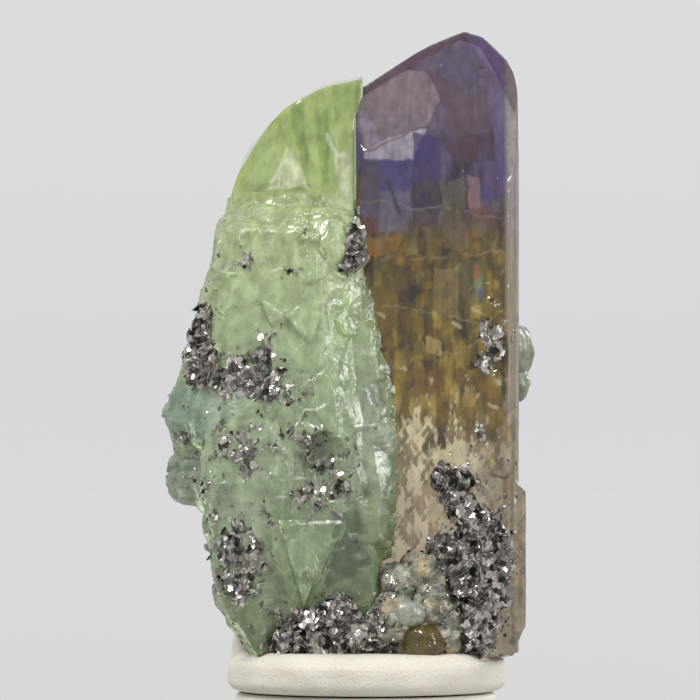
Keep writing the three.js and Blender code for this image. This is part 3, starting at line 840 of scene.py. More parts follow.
def windows(
    points: Array,
    palettes: tuple[tuple[float, tuple[Colour, ...]], ...],
    size: tuple[float, float, float],
    seed: int,
) -> tuple[Array, Array]:
    """Inner windows of a flawed crystal: each scattered grain takes one colour of the palette at its height.

    Args:
        points: Places in millimetres.
        palettes: A height and its colours, all with as many colours, from the bottom up.
        size: Usual size of a window along each axis.
        seed: Which scatter.

    Returns:
        The windows' colour, and how near each point is to a window's edge, from 0 to 1.
    """
    jagged = np.stack([noise(points, (0.3, 2.0, 0.4), seed + k, 3) for k in range(3)], axis=-1)
    distance, _, number = grains(points + jagged * np.array([0.09, 0.0, 0.16]), size, seed)
    heights = [height for height, _ in palettes]
    table = np.array([colours for _, colours in palettes])
    kind = np.minimum((number * table.shape[1]).astype(int), table.shape[1] - 1)
    place = np.interp(points[..., 2], heights, np.arange(len(heights)))
    below = np.floor(place).astype(int)
    above = np.minimum(below + 1, len(heights) - 1)
    part = (place - below)[..., None]
    return table[below, kind] * (1.0 - part) + table[above, kind] * part, smoothstep(0.35, 0.75, distance)


@dataclass(frozen=True)
class CrystalFinish:
    """A clear or milky crystal, with its colour and its frosting painted on the piece.

    Attributes:
        name: The material's name.
        ior: Refractive index.
        transmission: Share of light that passes through.
        gloss: Roughness where it is clear.
        frost: Roughness where it is frosted.
        subsurface: Share of the milky glow.
        relief: Depth of the fine relief in metres.
        grain: Sizes of the fine relief per metre, along X, Y and Z.
        absorbed: Colour that its inside lets through, alike all over.
        density: Strength of that absorption per metre.
        speck: Strength of dark specks.
        variation: Strength of the fine lighter and darker grain in its colour.
    """

    name: str
    ior: float
    transmission: float
    gloss: float
    frost: float
    subsurface: float
    relief: float
    grain: Point
    absorbed: Colour
    density: float
    speck: float = 0.0
    variation: float = 0.35

    def build(self) -> bpy.types.Material:
        """Makes the material.

        Returns:
            The new material.
        """
        material, nodes, links = new_material(self.name)
        shader = nodes["Principled BSDF"]
        shader.inputs["IOR"].default_value = self.ior
        shader.inputs["Transmission Weight"].default_value = self.transmission
        shader.inputs["Subsurface Weight"].default_value = self.subsurface
        shader.inputs["Subsurface Scale"].default_value = 0.002
        shader.inputs["Subsurface Radius"].default_value = (1.0, 1.0, 0.8)
        inside = nodes.new("ShaderNodeVolumeAbsorption")
        inside.inputs["Color"].default_value = (*self.absorbed, 1.0)
        inside.inputs["Density"].default_value = self.density
        links.new(inside.outputs["Volume"], nodes["Material Output"].inputs["Volume"])
        tint = nodes.new("ShaderNodeAttribute")
        tint.attribute_name = "tint"
        frosting = nodes.new("ShaderNodeAttribute")
        frosting.attribute_name = "frost"
        fleck = placed_group(nodes, fleck_group())
        dark = nodes.new("ShaderNodeMath")
        dark.operation = "MULTIPLY"
        dark.inputs[1].default_value = self.speck
        links.new(frosting.outputs["Fac"], dark.inputs[0])
        links.new(dark.outputs[0], fleck.inputs["Strength"])
        relief = placed_group(nodes, relief_group())
        relief.inputs["Grain"].default_value = self.grain
        links.new(frosting.outputs["Fac"], relief.inputs["Frost"])
        strength = nodes.new("ShaderNodeMapRange")
        strength.inputs["To Min"].default_value = 0.35
        strength.inputs["To Max"].default_value = 1.5
        strength.clamp = False
        links.new(relief.outputs["Mottle"], strength.inputs["Value"])
        grained = nodes.new("ShaderNodeMix")
        grained.data_type = "RGBA"
        grained.blend_type = "MULTIPLY"
        grained.inputs["Factor"].default_value = self.variation
        links.new(tint.outputs["Color"], grained.inputs["A"])
        links.new(strength.outputs["Result"], grained.inputs["B"])
        links.new(grained.outputs["Result"], fleck.inputs["Color"])
        links.new(fleck.outputs["Color"], shader.inputs["Base Color"])
        spread = nodes.new("ShaderNodeMapRange")
        spread.inputs["To Min"].default_value = self.gloss
        spread.inputs["To Max"].default_value = self.frost
        links.new(frosting.outputs["Fac"], spread.inputs["Value"])
        links.new(spread.outputs["Result"], shader.inputs["Roughness"])
        share = nodes.new("ShaderNodeAttribute")
        share.attribute_name = "relief"
        height = nodes.new("ShaderNodeMath")
        height.operation = "MULTIPLY"
        links.new(relief.outputs["Height"], height.inputs[0])
        links.new(share.outputs["Fac"], height.inputs[1])
        bump = nodes.new("ShaderNodeBump")
        bump.inputs["Distance"].default_value = self.relief
        links.new(height.outputs[0], bump.inputs["Height"])
        links.new(bump.outputs["Normal"], shader.inputs["Normal"])
        return material


@dataclass(frozen=True)
class FlakeFinish:
    """Graphite: metal-like flakes, each turned a little from its neighbours, with dull dark places between.

    Attributes:
        name: The material's name.
        bright: Colour of a flake's flat side.
        dark: Colour between flakes.
        flake: Flakes per metre.
        tilt: Depth of the flakes' tilt in metres.
        metallic: Its metallic share.
        roughness: Its roughness between flakes and on a flake's flat side.
        rarity: Power of a flake's number, above 1 for fewer bright flakes.
    """

    name: str
    bright: Colour
    dark: Colour
    flake: float
    tilt: float
    metallic: float = 0.75
    roughness: tuple[float, float] = (0.55, 0.24)
    rarity: float = 1.15

    def build(self) -> bpy.types.Material:
        """Makes the material.

        Returns:
            The new material.
        """
        material, nodes, links = new_material(self.name)
        shader = nodes["Principled BSDF"]
        shader.inputs["Metallic"].default_value = self.metallic
        flakes = placed_group(nodes, flake_group())
        flakes.inputs["Scale"].default_value = self.flake
        mix = nodes.new("ShaderNodeMix")
        mix.data_type = "RGBA"
        mix.inputs["A"].default_value = (*self.dark, 1.0)
        mix.inputs["B"].default_value = (*self.bright, 1.0)
        fewer = nodes.new("ShaderNodeMath")
        fewer.operation = "POWER"
        fewer.inputs[1].default_value = self.rarity
        links.new(flakes.outputs["Shade"], fewer.inputs[0])
        links.new(fewer.outputs[0], mix.inputs["Factor"])
        links.new(mix.outputs["Result"], shader.inputs["Base Color"])
        spread = nodes.new("ShaderNodeMapRange")
        spread.inputs["To Min"].default_value = self.roughness[0]
        spread.inputs["To Max"].default_value = self.roughness[1]
        links.new(flakes.outputs["Shade"], spread.inputs["Value"])
        links.new(spread.outputs["Result"], shader.inputs["Roughness"])
        bump = nodes.new("ShaderNodeBump")
        bump.inputs["Distance"].default_value = self.tilt
        links.new(flakes.outputs["Height"], bump.inputs["Height"])
        links.new(bump.outputs["Normal"], shader.inputs["Normal"])
        return material


@dataclass(frozen=True)
class DullFinish:
    """A dull cream stuff: putty, matrix or the foot.

    Attributes:
        name: The material's name.
        colour: Main colour.
        stain: Colour of its darker mottling.
        roughness: Its roughness.
        relief: Depth of the relief in metres.
        grain: Sizes of the relief per metre.
        speck: Strength of dark specks.
        subsurface: Share of soft glow.
    """

    name: str
    colour: Colour
    stain: Colour
    roughness: float
    relief: float
    grain: Point
    speck: float
    subsurface: float

    def build(self) -> bpy.types.Material:
        """Makes the material.

        Returns:
            The new material.
        """
        material, nodes, links = new_material(self.name)
        shader = nodes["Principled BSDF"]
        shader.inputs["Roughness"].default_value = self.roughness
        shader.inputs["Subsurface Weight"].default_value = self.subsurface
        shader.inputs["Subsurface Scale"].default_value = 0.0012
        relief = placed_group(nodes, relief_group())
        relief.inputs["Grain"].default_value = self.grain
        relief.inputs["Frost"].default_value = 1.0
        mix = nodes.new("ShaderNodeMix")
        mix.data_type = "RGBA"
        mix.inputs["A"].default_value = (*self.stain, 1.0)
        mix.inputs["B"].default_value = (*self.colour, 1.0)
        links.new(relief.outputs["Mottle"], mix.inputs["Factor"])
        fleck = placed_group(nodes, fleck_group())
        fleck.inputs["Strength"].default_value = self.speck
        links.new(mix.outputs["Result"], fleck.inputs["Color"])
        links.new(fleck.outputs["Color"], shader.inputs["Base Color"])
        bump = nodes.new("ShaderNodeBump")
        bump.inputs["Distance"].default_value = self.relief
        links.new(relief.outputs["Height"], bump.inputs["Height"])
        links.new(bump.outputs["Normal"], shader.inputs["Normal"])
        return material


def new_material(name: str) -> tuple[bpy.types.Material, bpy.types.bpy_prop_collection, bpy.types.NodeLinks]:
    """A new material with nodes.

    Args:
        name: The material's name.

    Returns:
        The material, its nodes and its links.
    """
    material = bpy.data.materials.new(name)
    material.use_nodes = True
    return material, material.node_tree.nodes, material.node_tree.links


def placed_group(nodes: bpy.types.bpy_prop_collection, group: bpy.types.NodeTree) -> bpy.types.Node:
    """Places a group among a material's nodes.

    Args:
        nodes: The material's nodes.
        group: The group.

    Returns:
        The node that holds the group.
    """
    placed = nodes.new("ShaderNodeGroup")
    placed.node_tree = group
    return placed


def new_group(
    name: str, inputs: dict[str, tuple[str, object]], outputs: dict[str, str]
) -> tuple[bpy.types.NodeTree, bpy.types.Node, bpy.types.Node, bpy.types.Node]:
    """An empty shader group with its sockets.

    Args:
        name: The group's name.
        inputs: Input name to socket type and default value.
        outputs: Output name to socket type.

    Returns:
        The group, its input node, its output node and a texture coordinate node.
    """
    group = bpy.data.node_groups.new(name, "ShaderNodeTree")
    for title, (kind, value) in inputs.items():
        socket = group.interface.new_socket(title, in_out="INPUT", socket_type=kind)
        socket.default_value = value
    for title, kind in outputs.items():
        group.interface.new_socket(title, in_out="OUTPUT", socket_type=kind)
    entry = group.nodes.new("NodeGroupInput")
    leave = group.nodes.new("NodeGroupOutput")
    place = group.nodes.new("ShaderNodeTexCoord")
    return group, entry, leave, place


def relief_group() -> bpy.types.NodeTree:
    """Fine relief and mottling: a coarse noise stretched by the grain, plus half a fine one times the frost.

    Returns:
        The group, made once.
    """
    made = bpy.data.node_groups.get("fine_relief")
    if made:
        return made
    group, entry, leave, place = new_group(
        "fine_relief",
        {"Grain": ("NodeSocketVector", (1000.0, 1000.0, 1000.0)), "Frost": ("NodeSocketFloat", 1.0)},
        {"Height": "NodeSocketFloat", "Mottle": "NodeSocketFloat"},
    )
    nodes, links = group.nodes, group.links
    stretch = nodes.new("ShaderNodeVectorMath")
    stretch.operation = "MULTIPLY"
    links.new(place.outputs["Object"], stretch.inputs[0])
    links.new(entry.outputs["Grain"], stretch.inputs[1])
    coarse = nodes.new("ShaderNodeTexNoise")
    coarse.inputs["Scale"].default_value = 1.0
    coarse.inputs["Detail"].default_value = 5.0
    links.new(stretch.outputs[0], coarse.inputs["Vector"])
    fine = nodes.new("ShaderNodeTexNoise")
    fine.inputs["Scale"].default_value = 9000.0
    fine.inputs["Detail"].default_value = 3.0
    links.new(place.outputs["Object"], fine.inputs["Vector"])
    frosted = nodes.new("ShaderNodeMath")
    frosted.operation = "MULTIPLY"
    links.new(fine.outputs["Fac"], frosted.inputs[0])
    links.new(entry.outputs["Frost"], frosted.inputs[1])
    total = nodes.new("ShaderNodeMath")
    total.operation = "MULTIPLY_ADD"
    total.inputs[1].default_value = 0.5
    links.new(frosted.outputs[0], total.inputs[0])
    links.new(coarse.outputs["Fac"], total.inputs[2])
    links.new(total.outputs[0], leave.inputs["Height"])
    mottle = nodes.new("ShaderNodeMapRange")
    mottle.inputs["From Min"].default_value = 0.35
    mottle.inputs["From Max"].default_value = 0.6
    links.new(coarse.outputs["Fac"], mottle.inputs["Value"])
    links.new(mottle.outputs["Result"], leave.inputs["Mottle"])
    return group


def fleck_group() -> bpy.types.NodeTree:
    """Dark specks on a colour: the middles of scattered cells, let through where a coarse noise is high.

    Returns:
        The group, made once.
    """
    made = bpy.data.node_groups.get("dark_flecks")
    if made:
        return made
    group, entry, leave, place = new_group(
        "dark_flecks",
        {"Color": ("NodeSocketColor", (0.8, 0.8, 0.8, 1.0)), "Strength": ("NodeSocketFloat", 0.0)},
        {"Color": "NodeSocketColor"},
    )
    nodes, links = group.nodes, group.links
    cells = nodes.new("ShaderNodeTexVoronoi")
    cells.inputs["Scale"].default_value = 2300.0
    links.new(place.outputs["Object"], cells.inputs["Vector"])
    dots = nodes.new("ShaderNodeMapRange")
    dots.inputs["From Min"].default_value = 0.18
    dots.inputs["From Max"].default_value = 0.32
    dots.inputs["To Min"].default_value = 1.0
    dots.inputs["To Max"].default_value = 0.0
    links.new(cells.outputs["Distance"], dots.inputs["Value"])
    coarse = nodes.new("ShaderNodeTexNoise")
    coarse.inputs["Scale"].default_value = 420.0
    coarse.inputs["Detail"].default_value = 4.0
    links.new(place.outputs["Object"], coarse.inputs["Vector"])
    gate = nodes.new("ShaderNodeMapRange")
    gate.inputs["From Min"].default_value = 0.55
    gate.inputs["From Max"].default_value = 0.68
    links.new(coarse.outputs["Fac"], gate.inputs["Value"])
    both = nodes.new("ShaderNodeMath")
    both.operation = "MULTIPLY"
    links.new(dots.outputs["Result"], both.inputs[0])
    links.new(gate.outputs["Result"], both.inputs[1])
    share = nodes.new("ShaderNodeMath")
    share.operation = "MULTIPLY"
    links.new(both.outputs[0], share.inputs[0])
    links.new(entry.outputs["Strength"], share.inputs[1])
    mix = nodes.new("ShaderNodeMix")
    mix.data_type = "RGBA"
    mix.inputs["B"].default_value = (0.03, 0.028, 0.026, 1.0)
    links.new(share.outputs[0], mix.inputs["Factor"])
    links.new(entry.outputs["Color"], mix.inputs["A"])
    links.new(mix.outputs["Result"], leave.inputs["Color"])
    return group


def flake_group() -> bpy.types.NodeTree:
    """Tilted flakes on scattered cells.

    Height is the offset from a cell's middle along the cell's own direction. Shade is the cell's own number.

    Returns:
        The group, made once.
    """
    made = bpy.data.node_groups.get("tilted_flakes")
    if made:
        return made
    group, entry, leave, place = new_group(
        "tilted_flakes",
        {"Scale": ("NodeSocketFloat", 3000.0)},
        {"Height": "NodeSocketFloat", "Shade": "NodeSocketFloat"},
    )
    nodes, links = group.nodes, group.links
    scaled = nodes.new("ShaderNodeVectorMath")
    scaled.operation = "SCALE"
    links.new(place.outputs["Object"], scaled.inputs[0])
    links.new(entry.outputs["Scale"], scaled.inputs["Scale"])
    cells = nodes.new("ShaderNodeTexVoronoi")
    cells.inputs["Scale"].default_value = 1.0
    links.new(scaled.outputs[0], cells.inputs["Vector"])
    apart = nodes.new("ShaderNodeVectorMath")
    apart.operation = "SUBTRACT"
    links.new(scaled.outputs[0], apart.inputs[0])
    links.new(cells.outputs["Position"], apart.inputs[1])
    way = nodes.new("ShaderNodeVectorMath")
    way.operation = "SUBTRACT"
    way.inputs[1].default_value = (0.5, 0.5, 0.5)
    links.new(cells.outputs["Color"], way.inputs[0])
    height = nodes.new("ShaderNodeVectorMath")
    height.operation = "DOT_PRODUCT"
    links.new(apart.outputs[0], height.inputs[0])
    links.new(way.outputs[0], height.inputs[1])
    links.new(height.outputs["Value"], leave.inputs["Height"])
    split = nodes.new("ShaderNodeSeparateColor")
    links.new(cells.outputs["Color"], split.inputs["Color"])
    links.new(split.outputs["Red"], leave.inputs["Shade"])
    return group


TANZANITE_FINISH = CrystalFinish(
    "tanzanite_crystal", ior=1.69, transmission=0.9, gloss=0.02, frost=0.42, subsurface=0.0, relief=0.00003,
    grain=(5200.0, 5200.0, 160.0), absorbed=(0.74, 0.66, 0.78), density=40.0, variation=0.1,
)
DIOPSIDE_FINISH = CrystalFinish(
    "diopside_crystal", ior=1.67, transmission=0.62, gloss=0.03, frost=0.36, subsurface=0.25, relief=0.00006,
    grain=(2300.0, 2300.0, 1500.0), absorbed=(0.84, 0.94, 0.70), density=30.0, speck=1.1, variation=0.3,
)
HONEY_FINISH = CrystalFinish(
    "honey_crystal", ior=1.62, transmission=0.85, gloss=0.03, frost=0.3, subsurface=0.0, relief=0.00003,
    grain=(3000.0, 3000.0, 1500.0), absorbed=(0.80, 0.62, 0.22), density=90.0,
)
PALE_FINISH = CrystalFinish(
    "pale_crystal", ior=1.62, transmission=0.6, gloss=0.08, frost=0.4, subsurface=0.3, relief=0.00003,
    grain=(3000.0, 3000.0, 1500.0), absorbed=(0.86, 0.90, 0.80), density=30.0,
)
MATRIX_FINISH = CrystalFinish(
    "cream_matrix", ior=1.6, transmission=0.3, gloss=0.2, frost=0.6, subsurface=0.2, relief=0.00022,
    grain=(2600.0, 2600.0, 2600.0), absorbed=(0.88, 0.84, 0.74), density=30.0, speck=1.0, variation=0.5,
)
GRAPHITE_FINISH = FlakeFinish(
    "graphite_flakes", bright=(0.65, 0.60, 0.55), dark=(0.035, 0.032, 0.029), flake=3600.0, tilt=0.0003
)
SEAM_FINISH = DullFinish(
    "seam_grains", colour=(0.62, 0.65, 0.52), stain=(0.40, 0.44, 0.32), roughness=0.4, relief=0.0001,
    grain=(1700.0, 1700.0, 1700.0), speck=0.0, subsurface=0.2,
)
PUTTY_FINISH = DullFinish(
    "display_putty", colour=(0.63, 0.595, 0.50), stain=(0.57, 0.535, 0.44), roughness=0.5, relief=0.0001,
    grain=(420.0, 420.0, 420.0), speck=0.35, subsurface=0.2,
)
FOOT_FINISH = DullFinish(
    "display_foot", colour=(0.64, 0.61, 0.53), stain=(0.61, 0.58, 0.50), roughness=0.45, relief=0.00002,
    grain=(300.0, 300.0, 300.0), speck=0.0, subsurface=0.15,
)


def hand_over(
    piece: bpy.types.Object, node: Optional[str], material: bpy.types.Material
) -> None:
    """Dresses a piece, hides the CAD node that it stands for, if any, and puts it on the specimen's only body.

    Args:
        piece: The finished piece.
        node: The CAD node that it stands for, or None where that stays shown.
        material: Its material.
    """
    piece.data.materials.clear()
    piece.data.materials.append(material)
    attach(piece, "root")
    if node:
        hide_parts(node)
    log.info("%s: %d faces", piece.name, len(piece.data.polygons))


@dataclass
class Tanzanite:
    """The purple to brown prism and the short crystal low on its right.

    Attributes:
        axis: Axis of its rays.
        striation: Height of the upright striations.
        crust_top: Height where the cream crust starts to break up.
        cream: Colour of that crust.
        bevel_highlight: Colour of the painted highlight down the pale bevel of its right edge.
        fracture: Colour of the healed fractures.
        painted_glint: Colour of the painted glints, small bright highlights in the brown part.
        pit_shade: Colour of the painted shade in the etched pits.
    """

    axis: tuple[Point, ...] = ((4.1, 0.1, 6.0), (4.0, 0.1, 12.0), (3.5, 0.0, 14.0), (3.6, 0.2, 28.8))
    striation: float = 0.012
    crust_top: float = 16.2
    cream: Colour = (0.72, 0.62, 0.36)
    bevel_highlight: Colour = (0.64, 0.53, 0.44)
    fracture: Colour = (0.62, 0.55, 0.42)
    painted_glint: Colour = (0.85, 0.78, 0.58)
    pit_shade: Colour = (0.02, 0.012, 0.03)

    def build(self) -> bpy.types.Object:
        """Casts the skin, lays the relief and the colour on it, and dresses it.

        Returns:
            The crystal.
        """
        skin = CrystalSkin(TANZANITE_CELLS, self.axis, (12, 270, 76), 260, soft=0.035)
        points = skin.points()
        front = skin.fronting()
        crust = self.crust(points)
        side = 1.0 - smoothstep(28.0, 31.0, points[..., 2])
        lines = noise(points, (0.32, 0.32, 26.0), 3, 2) * self.striation * side
        grown = noise(points, (0.5, 0.5, 0.5), 8, 4) * 0.06 * crust
        _, apart, number = grains(points, (0.6, 3.0, 1.0), 9)
        tilted = (apart * outward(number * 360.0, np.zeros_like(number))).sum(axis=-1) * 0.02 * side
        skin.rise(lines + grown + tilted - 0.08 * self.pits(points))
        points = skin.points()
        piece = ring_mesh("tanzanite", points)
        paint(piece, "tint", self.colour(points, crust, front))
        end = 0.9 * (1.0 - front) * smoothstep(28.5, 29.5, points[..., 2])
        paint(piece, "frost", np.clip(np.maximum(crust * 1.1, end) + 0.02, 0.0, 1.0))
        paint(piece, "relief", 0.04 + 0.96 * (1.0 - smoothstep(28.0, 29.0, points[..., 2])))
        hand_over(piece, "tanzanite_crystal", TANZANITE_FINISH.build())
        return piece

    def crust(self, points: Array) -> Array:
        """Share of cream crust: full low on the front, with ragged tongues above.

        It falls with height, shifted by stretched noise, and three leant noises break it into splinters.

        Args:
            points: The skin's places in millimetres.

        Returns:
            The share of each point, from 0 to 1.
        """
        ragged = noise(points, (0.6, 1.5, 1.8), 21, 4) * 2.6 + noise(points, (0.22, 1.0, 0.4), 22, 3) * 1.1
        height = self.crust_top + ragged - points[..., 2]
        front = 1.0 - 0.6 * smoothstep(-2.5, 1.0, points[..., 1])
        broken = 0.7 * noise(points, (0.8, 1.5, 1.1), 23, 3)
        for number, lean in enumerate((-0.75, 0.0, 0.6)):
            leant = points + points[..., 2:] * np.array([lean, 0.0, 0.0])
            broken = broken + 0.45 * noise(leant, (0.17, 1.5, 1.3), 25 + number, 2)
        gaps = 1.0 - 0.92 * smoothstep(-0.02, 0.22, broken)
        across = points[..., 0] + 0.6 * noise(points, (0.5, 1.0, 1.2), 24, 2)
        right = 1.0 - 0.7 * smoothstep(4.8, 6.0, across)
        return smoothstep(-0.15, 0.7, height) * front * gaps * right

    def pits(self, points: Array) -> Array:
        """Share of small etched pits in the sloping end: 1 round each place, falling off with distance.

        Args:
            points: The skin's places in millimetres.

        Returns:
            The share of each point, from 0 to 1.
        """
        apart = points[..., None, [0, 2]] - np.array(ETCHED_PITS)
        distance = np.linalg.norm(apart / np.array(PIT_SIZE), axis=-1).min(axis=-1)
        return (1.0 - smoothstep(0.5, 1.1, distance)) * (points[..., 2] > 31.0) * (points[..., 1] < 0.3)

    def colour(self, points: Array, crust: Array, front: Array) -> Array:
        """The crystal's zoning: bands by height, windows, streaks, clouds, panes and the cream crust on top,
        with painted glints, highlight, reflections and shade.

        Light passes a front face and a back face. The front carries three quarters of the depth of colour,
        with all of the detail, as a power of one and a half. The back carries the rest, as a square root.

        Args:
            points: The skin's places in millimetres.
            crust: Share of cream crust.
            front: Share of facing the front.

        Returns:
            The colour of each point.
        """
        shifted = points[..., 2] + noise(points, (1.1, 2.5, 1.8), 31, 3) * 0.55
        colour = banded(shifted, TANZANITE_BANDS)
        broad, broad_edge = windows(points, TANZANITE_WINDOWS, (0.85, 3.4, 1.7), 36)
        small, small_edge = windows(points, TANZANITE_WINDOWS, (0.36, 2.2, 0.75), 37)
        inner = 1.0 - 0.55 * smoothstep(28.4, 29.6, points[..., 2])
        colour = colour + (broad - colour) * (0.7 * inner)[..., None]
        colour = colour + (small - colour) * (0.5 * inner)[..., None]
        streak = noise(points, (0.2, 1.6, 4.0), 32, 3)
        cloud = noise(points, (0.4, 1.6, 0.7), 34, 4)
        shade = 1.06 + 0.45 * streak * inner + 0.75 * cloud - 0.28 * (broad_edge + small_edge) * inner
        warm = smoothstep(15.0, 17.0, points[..., 2]) * (1.0 - smoothstep(24.5, 26.0, points[..., 2]))
        colour = colour * np.clip(shade, 0.15, 2.2)[..., None]
        colour = colour * (1.0 + warm[..., None] * np.array([0.28, 0.24, -0.60]))
        colour = paned(points, colour, TANZANITE_PANES, 0.12, 0.04, 33)
        colour = colour + (small - colour) * (0.22 * inner)[..., None]
        colour = colour + (np.array(self.fracture) - colour) * (self.fractures(points) * 0.32)[..., None]
        # Painted glints: bright dashes that stand in for sparkles of light.
        colour = colour + (np.array(self.painted_glint) - colour) * (self.painted_glints(points) * 0.8)[..., None]
        # Painted shade: the etched pits darkened almost to black.
        colour = colour + (np.array(self.pit_shade) - colour) * (self.pits(points) * 0.85)[..., None]
        plain = banded(points[..., 2], TANZANITE_BANDS)
        share = front[..., None]
        colour = np.clip(colour, DARKEST, 1.0) ** 1.5 * share + plain**0.5 * (1.0 - share)
        # Painted highlight: a pale streaked strip down the right bevel, standing in for the light's reflection
        # there.
        bevel_highlight = smoothstep(6.55, 6.85, points[..., 0]) * smoothstep(15.0, 18.0, points[..., 2])
        pale = np.array(self.bevel_highlight) * (1.0 + 0.4 * noise(points, (0.12, 0.12, 9.0), 38, 2))[..., None]
        colour = colour + (pale - colour) * (bevel_highlight * 0.8)[..., None]
        cream = np.array(self.cream) * (1.0 + 0.6 * noise(points, (0.4, 0.4, 0.6), 35, 4))[..., None]
        cream = cream * (1.0 + 0.5 * smoothstep(12.5, 14.5, points[..., 2]))[..., None]
        return np.clip(colour + (cream - colour) * (crust * 0.85)[..., None], DARKEST, 1.0)

    def painted_glints(self, points: Array) -> Array:
        """Painted glints in the brown part: short slanted bright dashes round the middles of chosen grains.

        Args:
            points: The skin's places in millimetres.

        Returns:
            The share of each point, from 0 to 1.
        """
        _, apart, number = grains(points, (0.9, 3.0, 0.6), 41)
        own = number * 37.0 % 1.0
        slant = apart[..., 0] + apart[..., 2] * (own * 2.4 - 1.2)
        distance = np.hypot(slant / (0.05 + 0.16 * own), apart[..., 2] / 0.34)
        jagged = distance + 0.5 * noise(points, (0.15, 2.0, 0.2), 42, 2)
        zone = smoothstep(14.5, 16.5, points[..., 2]) * (1.0 - smoothstep(24.0, 26.5, points[..., 2]))
        return (1.0 - smoothstep(0.6, 1.1, jagged)) * (number > 0.87) * zone * (0.3 + 0.7 * (own > 0.5))

    def fractures(self, points: Array) -> Array:
        """Healed fractures: thin wavy lines across the crystal, where height meets a slanted, noisy level.

        Args:
            points: The skin's places in millimetres.

        Returns:
            The share of each point, from 0 to 1.
        """
        wave = noise(points, (1.2, 2.0, 1.2), 39, 3) * 0.35
        share = np.zeros(points.shape[:2])
        for height, slope, width in HEALED_FRACTURES:
            apart = np.abs(points[..., 2] - height - slope * (points[..., 0] - 3.4) - wave)
            share = np.maximum(share, 1.0 - smoothstep(0.3 * width, width + 0.03, apart))
        return share * (noise(points, (0.6, 2.0, 0.6), 40, 2) > -0.25)


@dataclass
class Diopside:
    """The big pale green crystal: a clear tip, a frosted ledge, a milky body and a bluish cluster.

    Attributes:
        axis: Axis of its rays.
        ledge: Where the frosted body's top edge is highest, as x and z.
        terrace: Height of its steps.
        chip: Height of its large chipped faces.
        overhang: How far the overhanging lip at its back left is drawn in.
        pale: Colour of its fracture lines and of the rim of its tip.
    """

    axis: tuple[Point, ...] = (
        (-3.2, -2.0, 6.6), (-3.2, -3.2, 8.5), (-3.0, -3.3, 21.5), (-2.9, -1.2, 25.0), (-2.4, -0.2, 28.4),
    )
    ledge: tuple[float, float] = (-2.98, 26.85)
    terrace: float = 0.13
    chip: float = 0.24
    overhang: float = 1.5
    pale: Colour = (0.74, 0.80, 0.60)

    def build(self) -> bpy.types.Object:
        """Casts the skin, lays the relief and the colour on it, and dresses it.

        Returns:
            The crystal.
        """
        cells = DIOPSIDE_CELLS + tuple(lump_cell(lump) for lump in DIOPSIDE_LUMPS)
        hollow = lump_cell(DIOPSIDE_HOLLOW, 12, 2.2)
        skin = CrystalSkin(cells, self.axis, (16, 280, 56), 270, TANZANITE_CELLS, (hollow,), 0.05)
        points = skin.points()
        away = points[..., 0] - self.ledge[0]
        edge = self.ledge[1] - np.where(away < 0, 0.12, 0.25) * np.minimum(np.abs(away), 3.0) ** 2
        edge = edge + noise(points, (0.7, 0.9, 0.9), 57, 3) * 0.22
        body = 1.0 - smoothstep(-0.2, 0.16, points[..., 2] - edge)
        skin.rise((self.roughness(points) - self.drawn_in(points)) * body)
        points = skin.points()
        piece = ring_mesh("diopside", points)
        frost = body * np.clip(0.62 + 0.7 * noise(points, (0.7, 0.9, 0.9), 54, 3), 0.1, 1.0)
        paint(piece, "tint", self.colour(points, body))
        paint(piece, "frost", np.clip(frost, 0.0, 1.0))
        paint(piece, "relief", 0.15 + 0.85 * body)
        hand_over(piece, "diopside_crystal", DIOPSIDE_FINISH.build())
        return piece

    def roughness(self, points: Array) -> Array:
        """Relief of the body: noise rounded to terraces, large chipped faces, small ones in places, and noise.

        Args:
            points: The skin's places in millimetres.

        Returns:
            The height of each point in millimetres.
        """
        terraces = np.round(noise(points, (1.1, 0.8, 2.2), 51, 3) * 4.0) / 4.0 * self.terrace
        large = chipped(*grains(points, (1.7, 1.2, 1.5), 52)) * self.chip
        busy = smoothstep(-0.1, 0.4, noise(points, (1.6, 1.6, 1.6), 56, 2))
        small = chipped(*grains(points, (0.55, 0.7, 0.7), 55)) * 0.05 * busy
        return terraces + large + small + noise(points, (0.35, 0.35, 0.5), 53, 3) * 0.02

    def drawn_in(self, points: Array) -> Array:
        """How far the lip at the back left is drawn in: a bell curve of height, let through back and left.

        Args:
            points: The skin's places in millimetres.

        Returns:
            The depth at each point in millimetres.
        """
        place = smoothstep(-0.6, 1.8, points[..., 1]) * (1.0 - smoothstep(-8.2, -6.6, points[..., 0]))
        return place * np.exp(-(((points[..., 2] - 16.8) / 2.6) ** 2)) * self.overhang

    def colour(self, points: Array, body: Array) -> Array:
        """Bands by height, zones, panes, clouds, and pale fracture lines where a noise is near nothing.

        Args:
            points: The skin's places in millimetres.
            body: Share of the frosted body below the clear tip.

        Returns:
            The colour of each point.
        """
        shifted = points[..., 2] + noise(points, (1.3, 1.3, 1.6), 61, 3) * 0.3 * body
        colour = banded(shifted, DIOPSIDE_BANDS)
        colour = zoned(points, colour, DIOPSIDE_ZONES, 0.2, 0.3, 62)
        colour = paned(points, colour, DIOPSIDE_PANES, 0.1, 0.07, 67)
        cloud = noise(points, (0.6, 0.8, 1.0), 63, 4)
        blotch = noise(points, (0.28, 0.5, 0.34), 68, 3)
        cluster = (1.0 - smoothstep(-6.6, -5.0, points[..., 0])) * smoothstep(11.5, 13.0, points[..., 2])
        cluster = cluster * (1.0 - smoothstep(17.6, 18.6, points[..., 2]))
        striae = noise(points, (0.2, 0.4, 1.6), 69, 3)
        shade = 1.0 + 0.26 * cloud * (0.4 + 0.6 * body) + 0.18 * blotch * body + 0.45 * striae * cluster
        colour = colour * shade[..., None]
        vein = 1.0 - smoothstep(0.0, 0.06, np.abs(noise(points, (1.3, 1.3, 1.7), 64, 3)))
        rim = 1.0 - smoothstep(0.0, 0.5, np.abs(body - 0.5))
        colour = colour + (np.array(self.pale) - colour) * (np.maximum(vein * body, rim) * 0.5)[..., None]
        return np.clip(colour, DARKEST, 1.0)


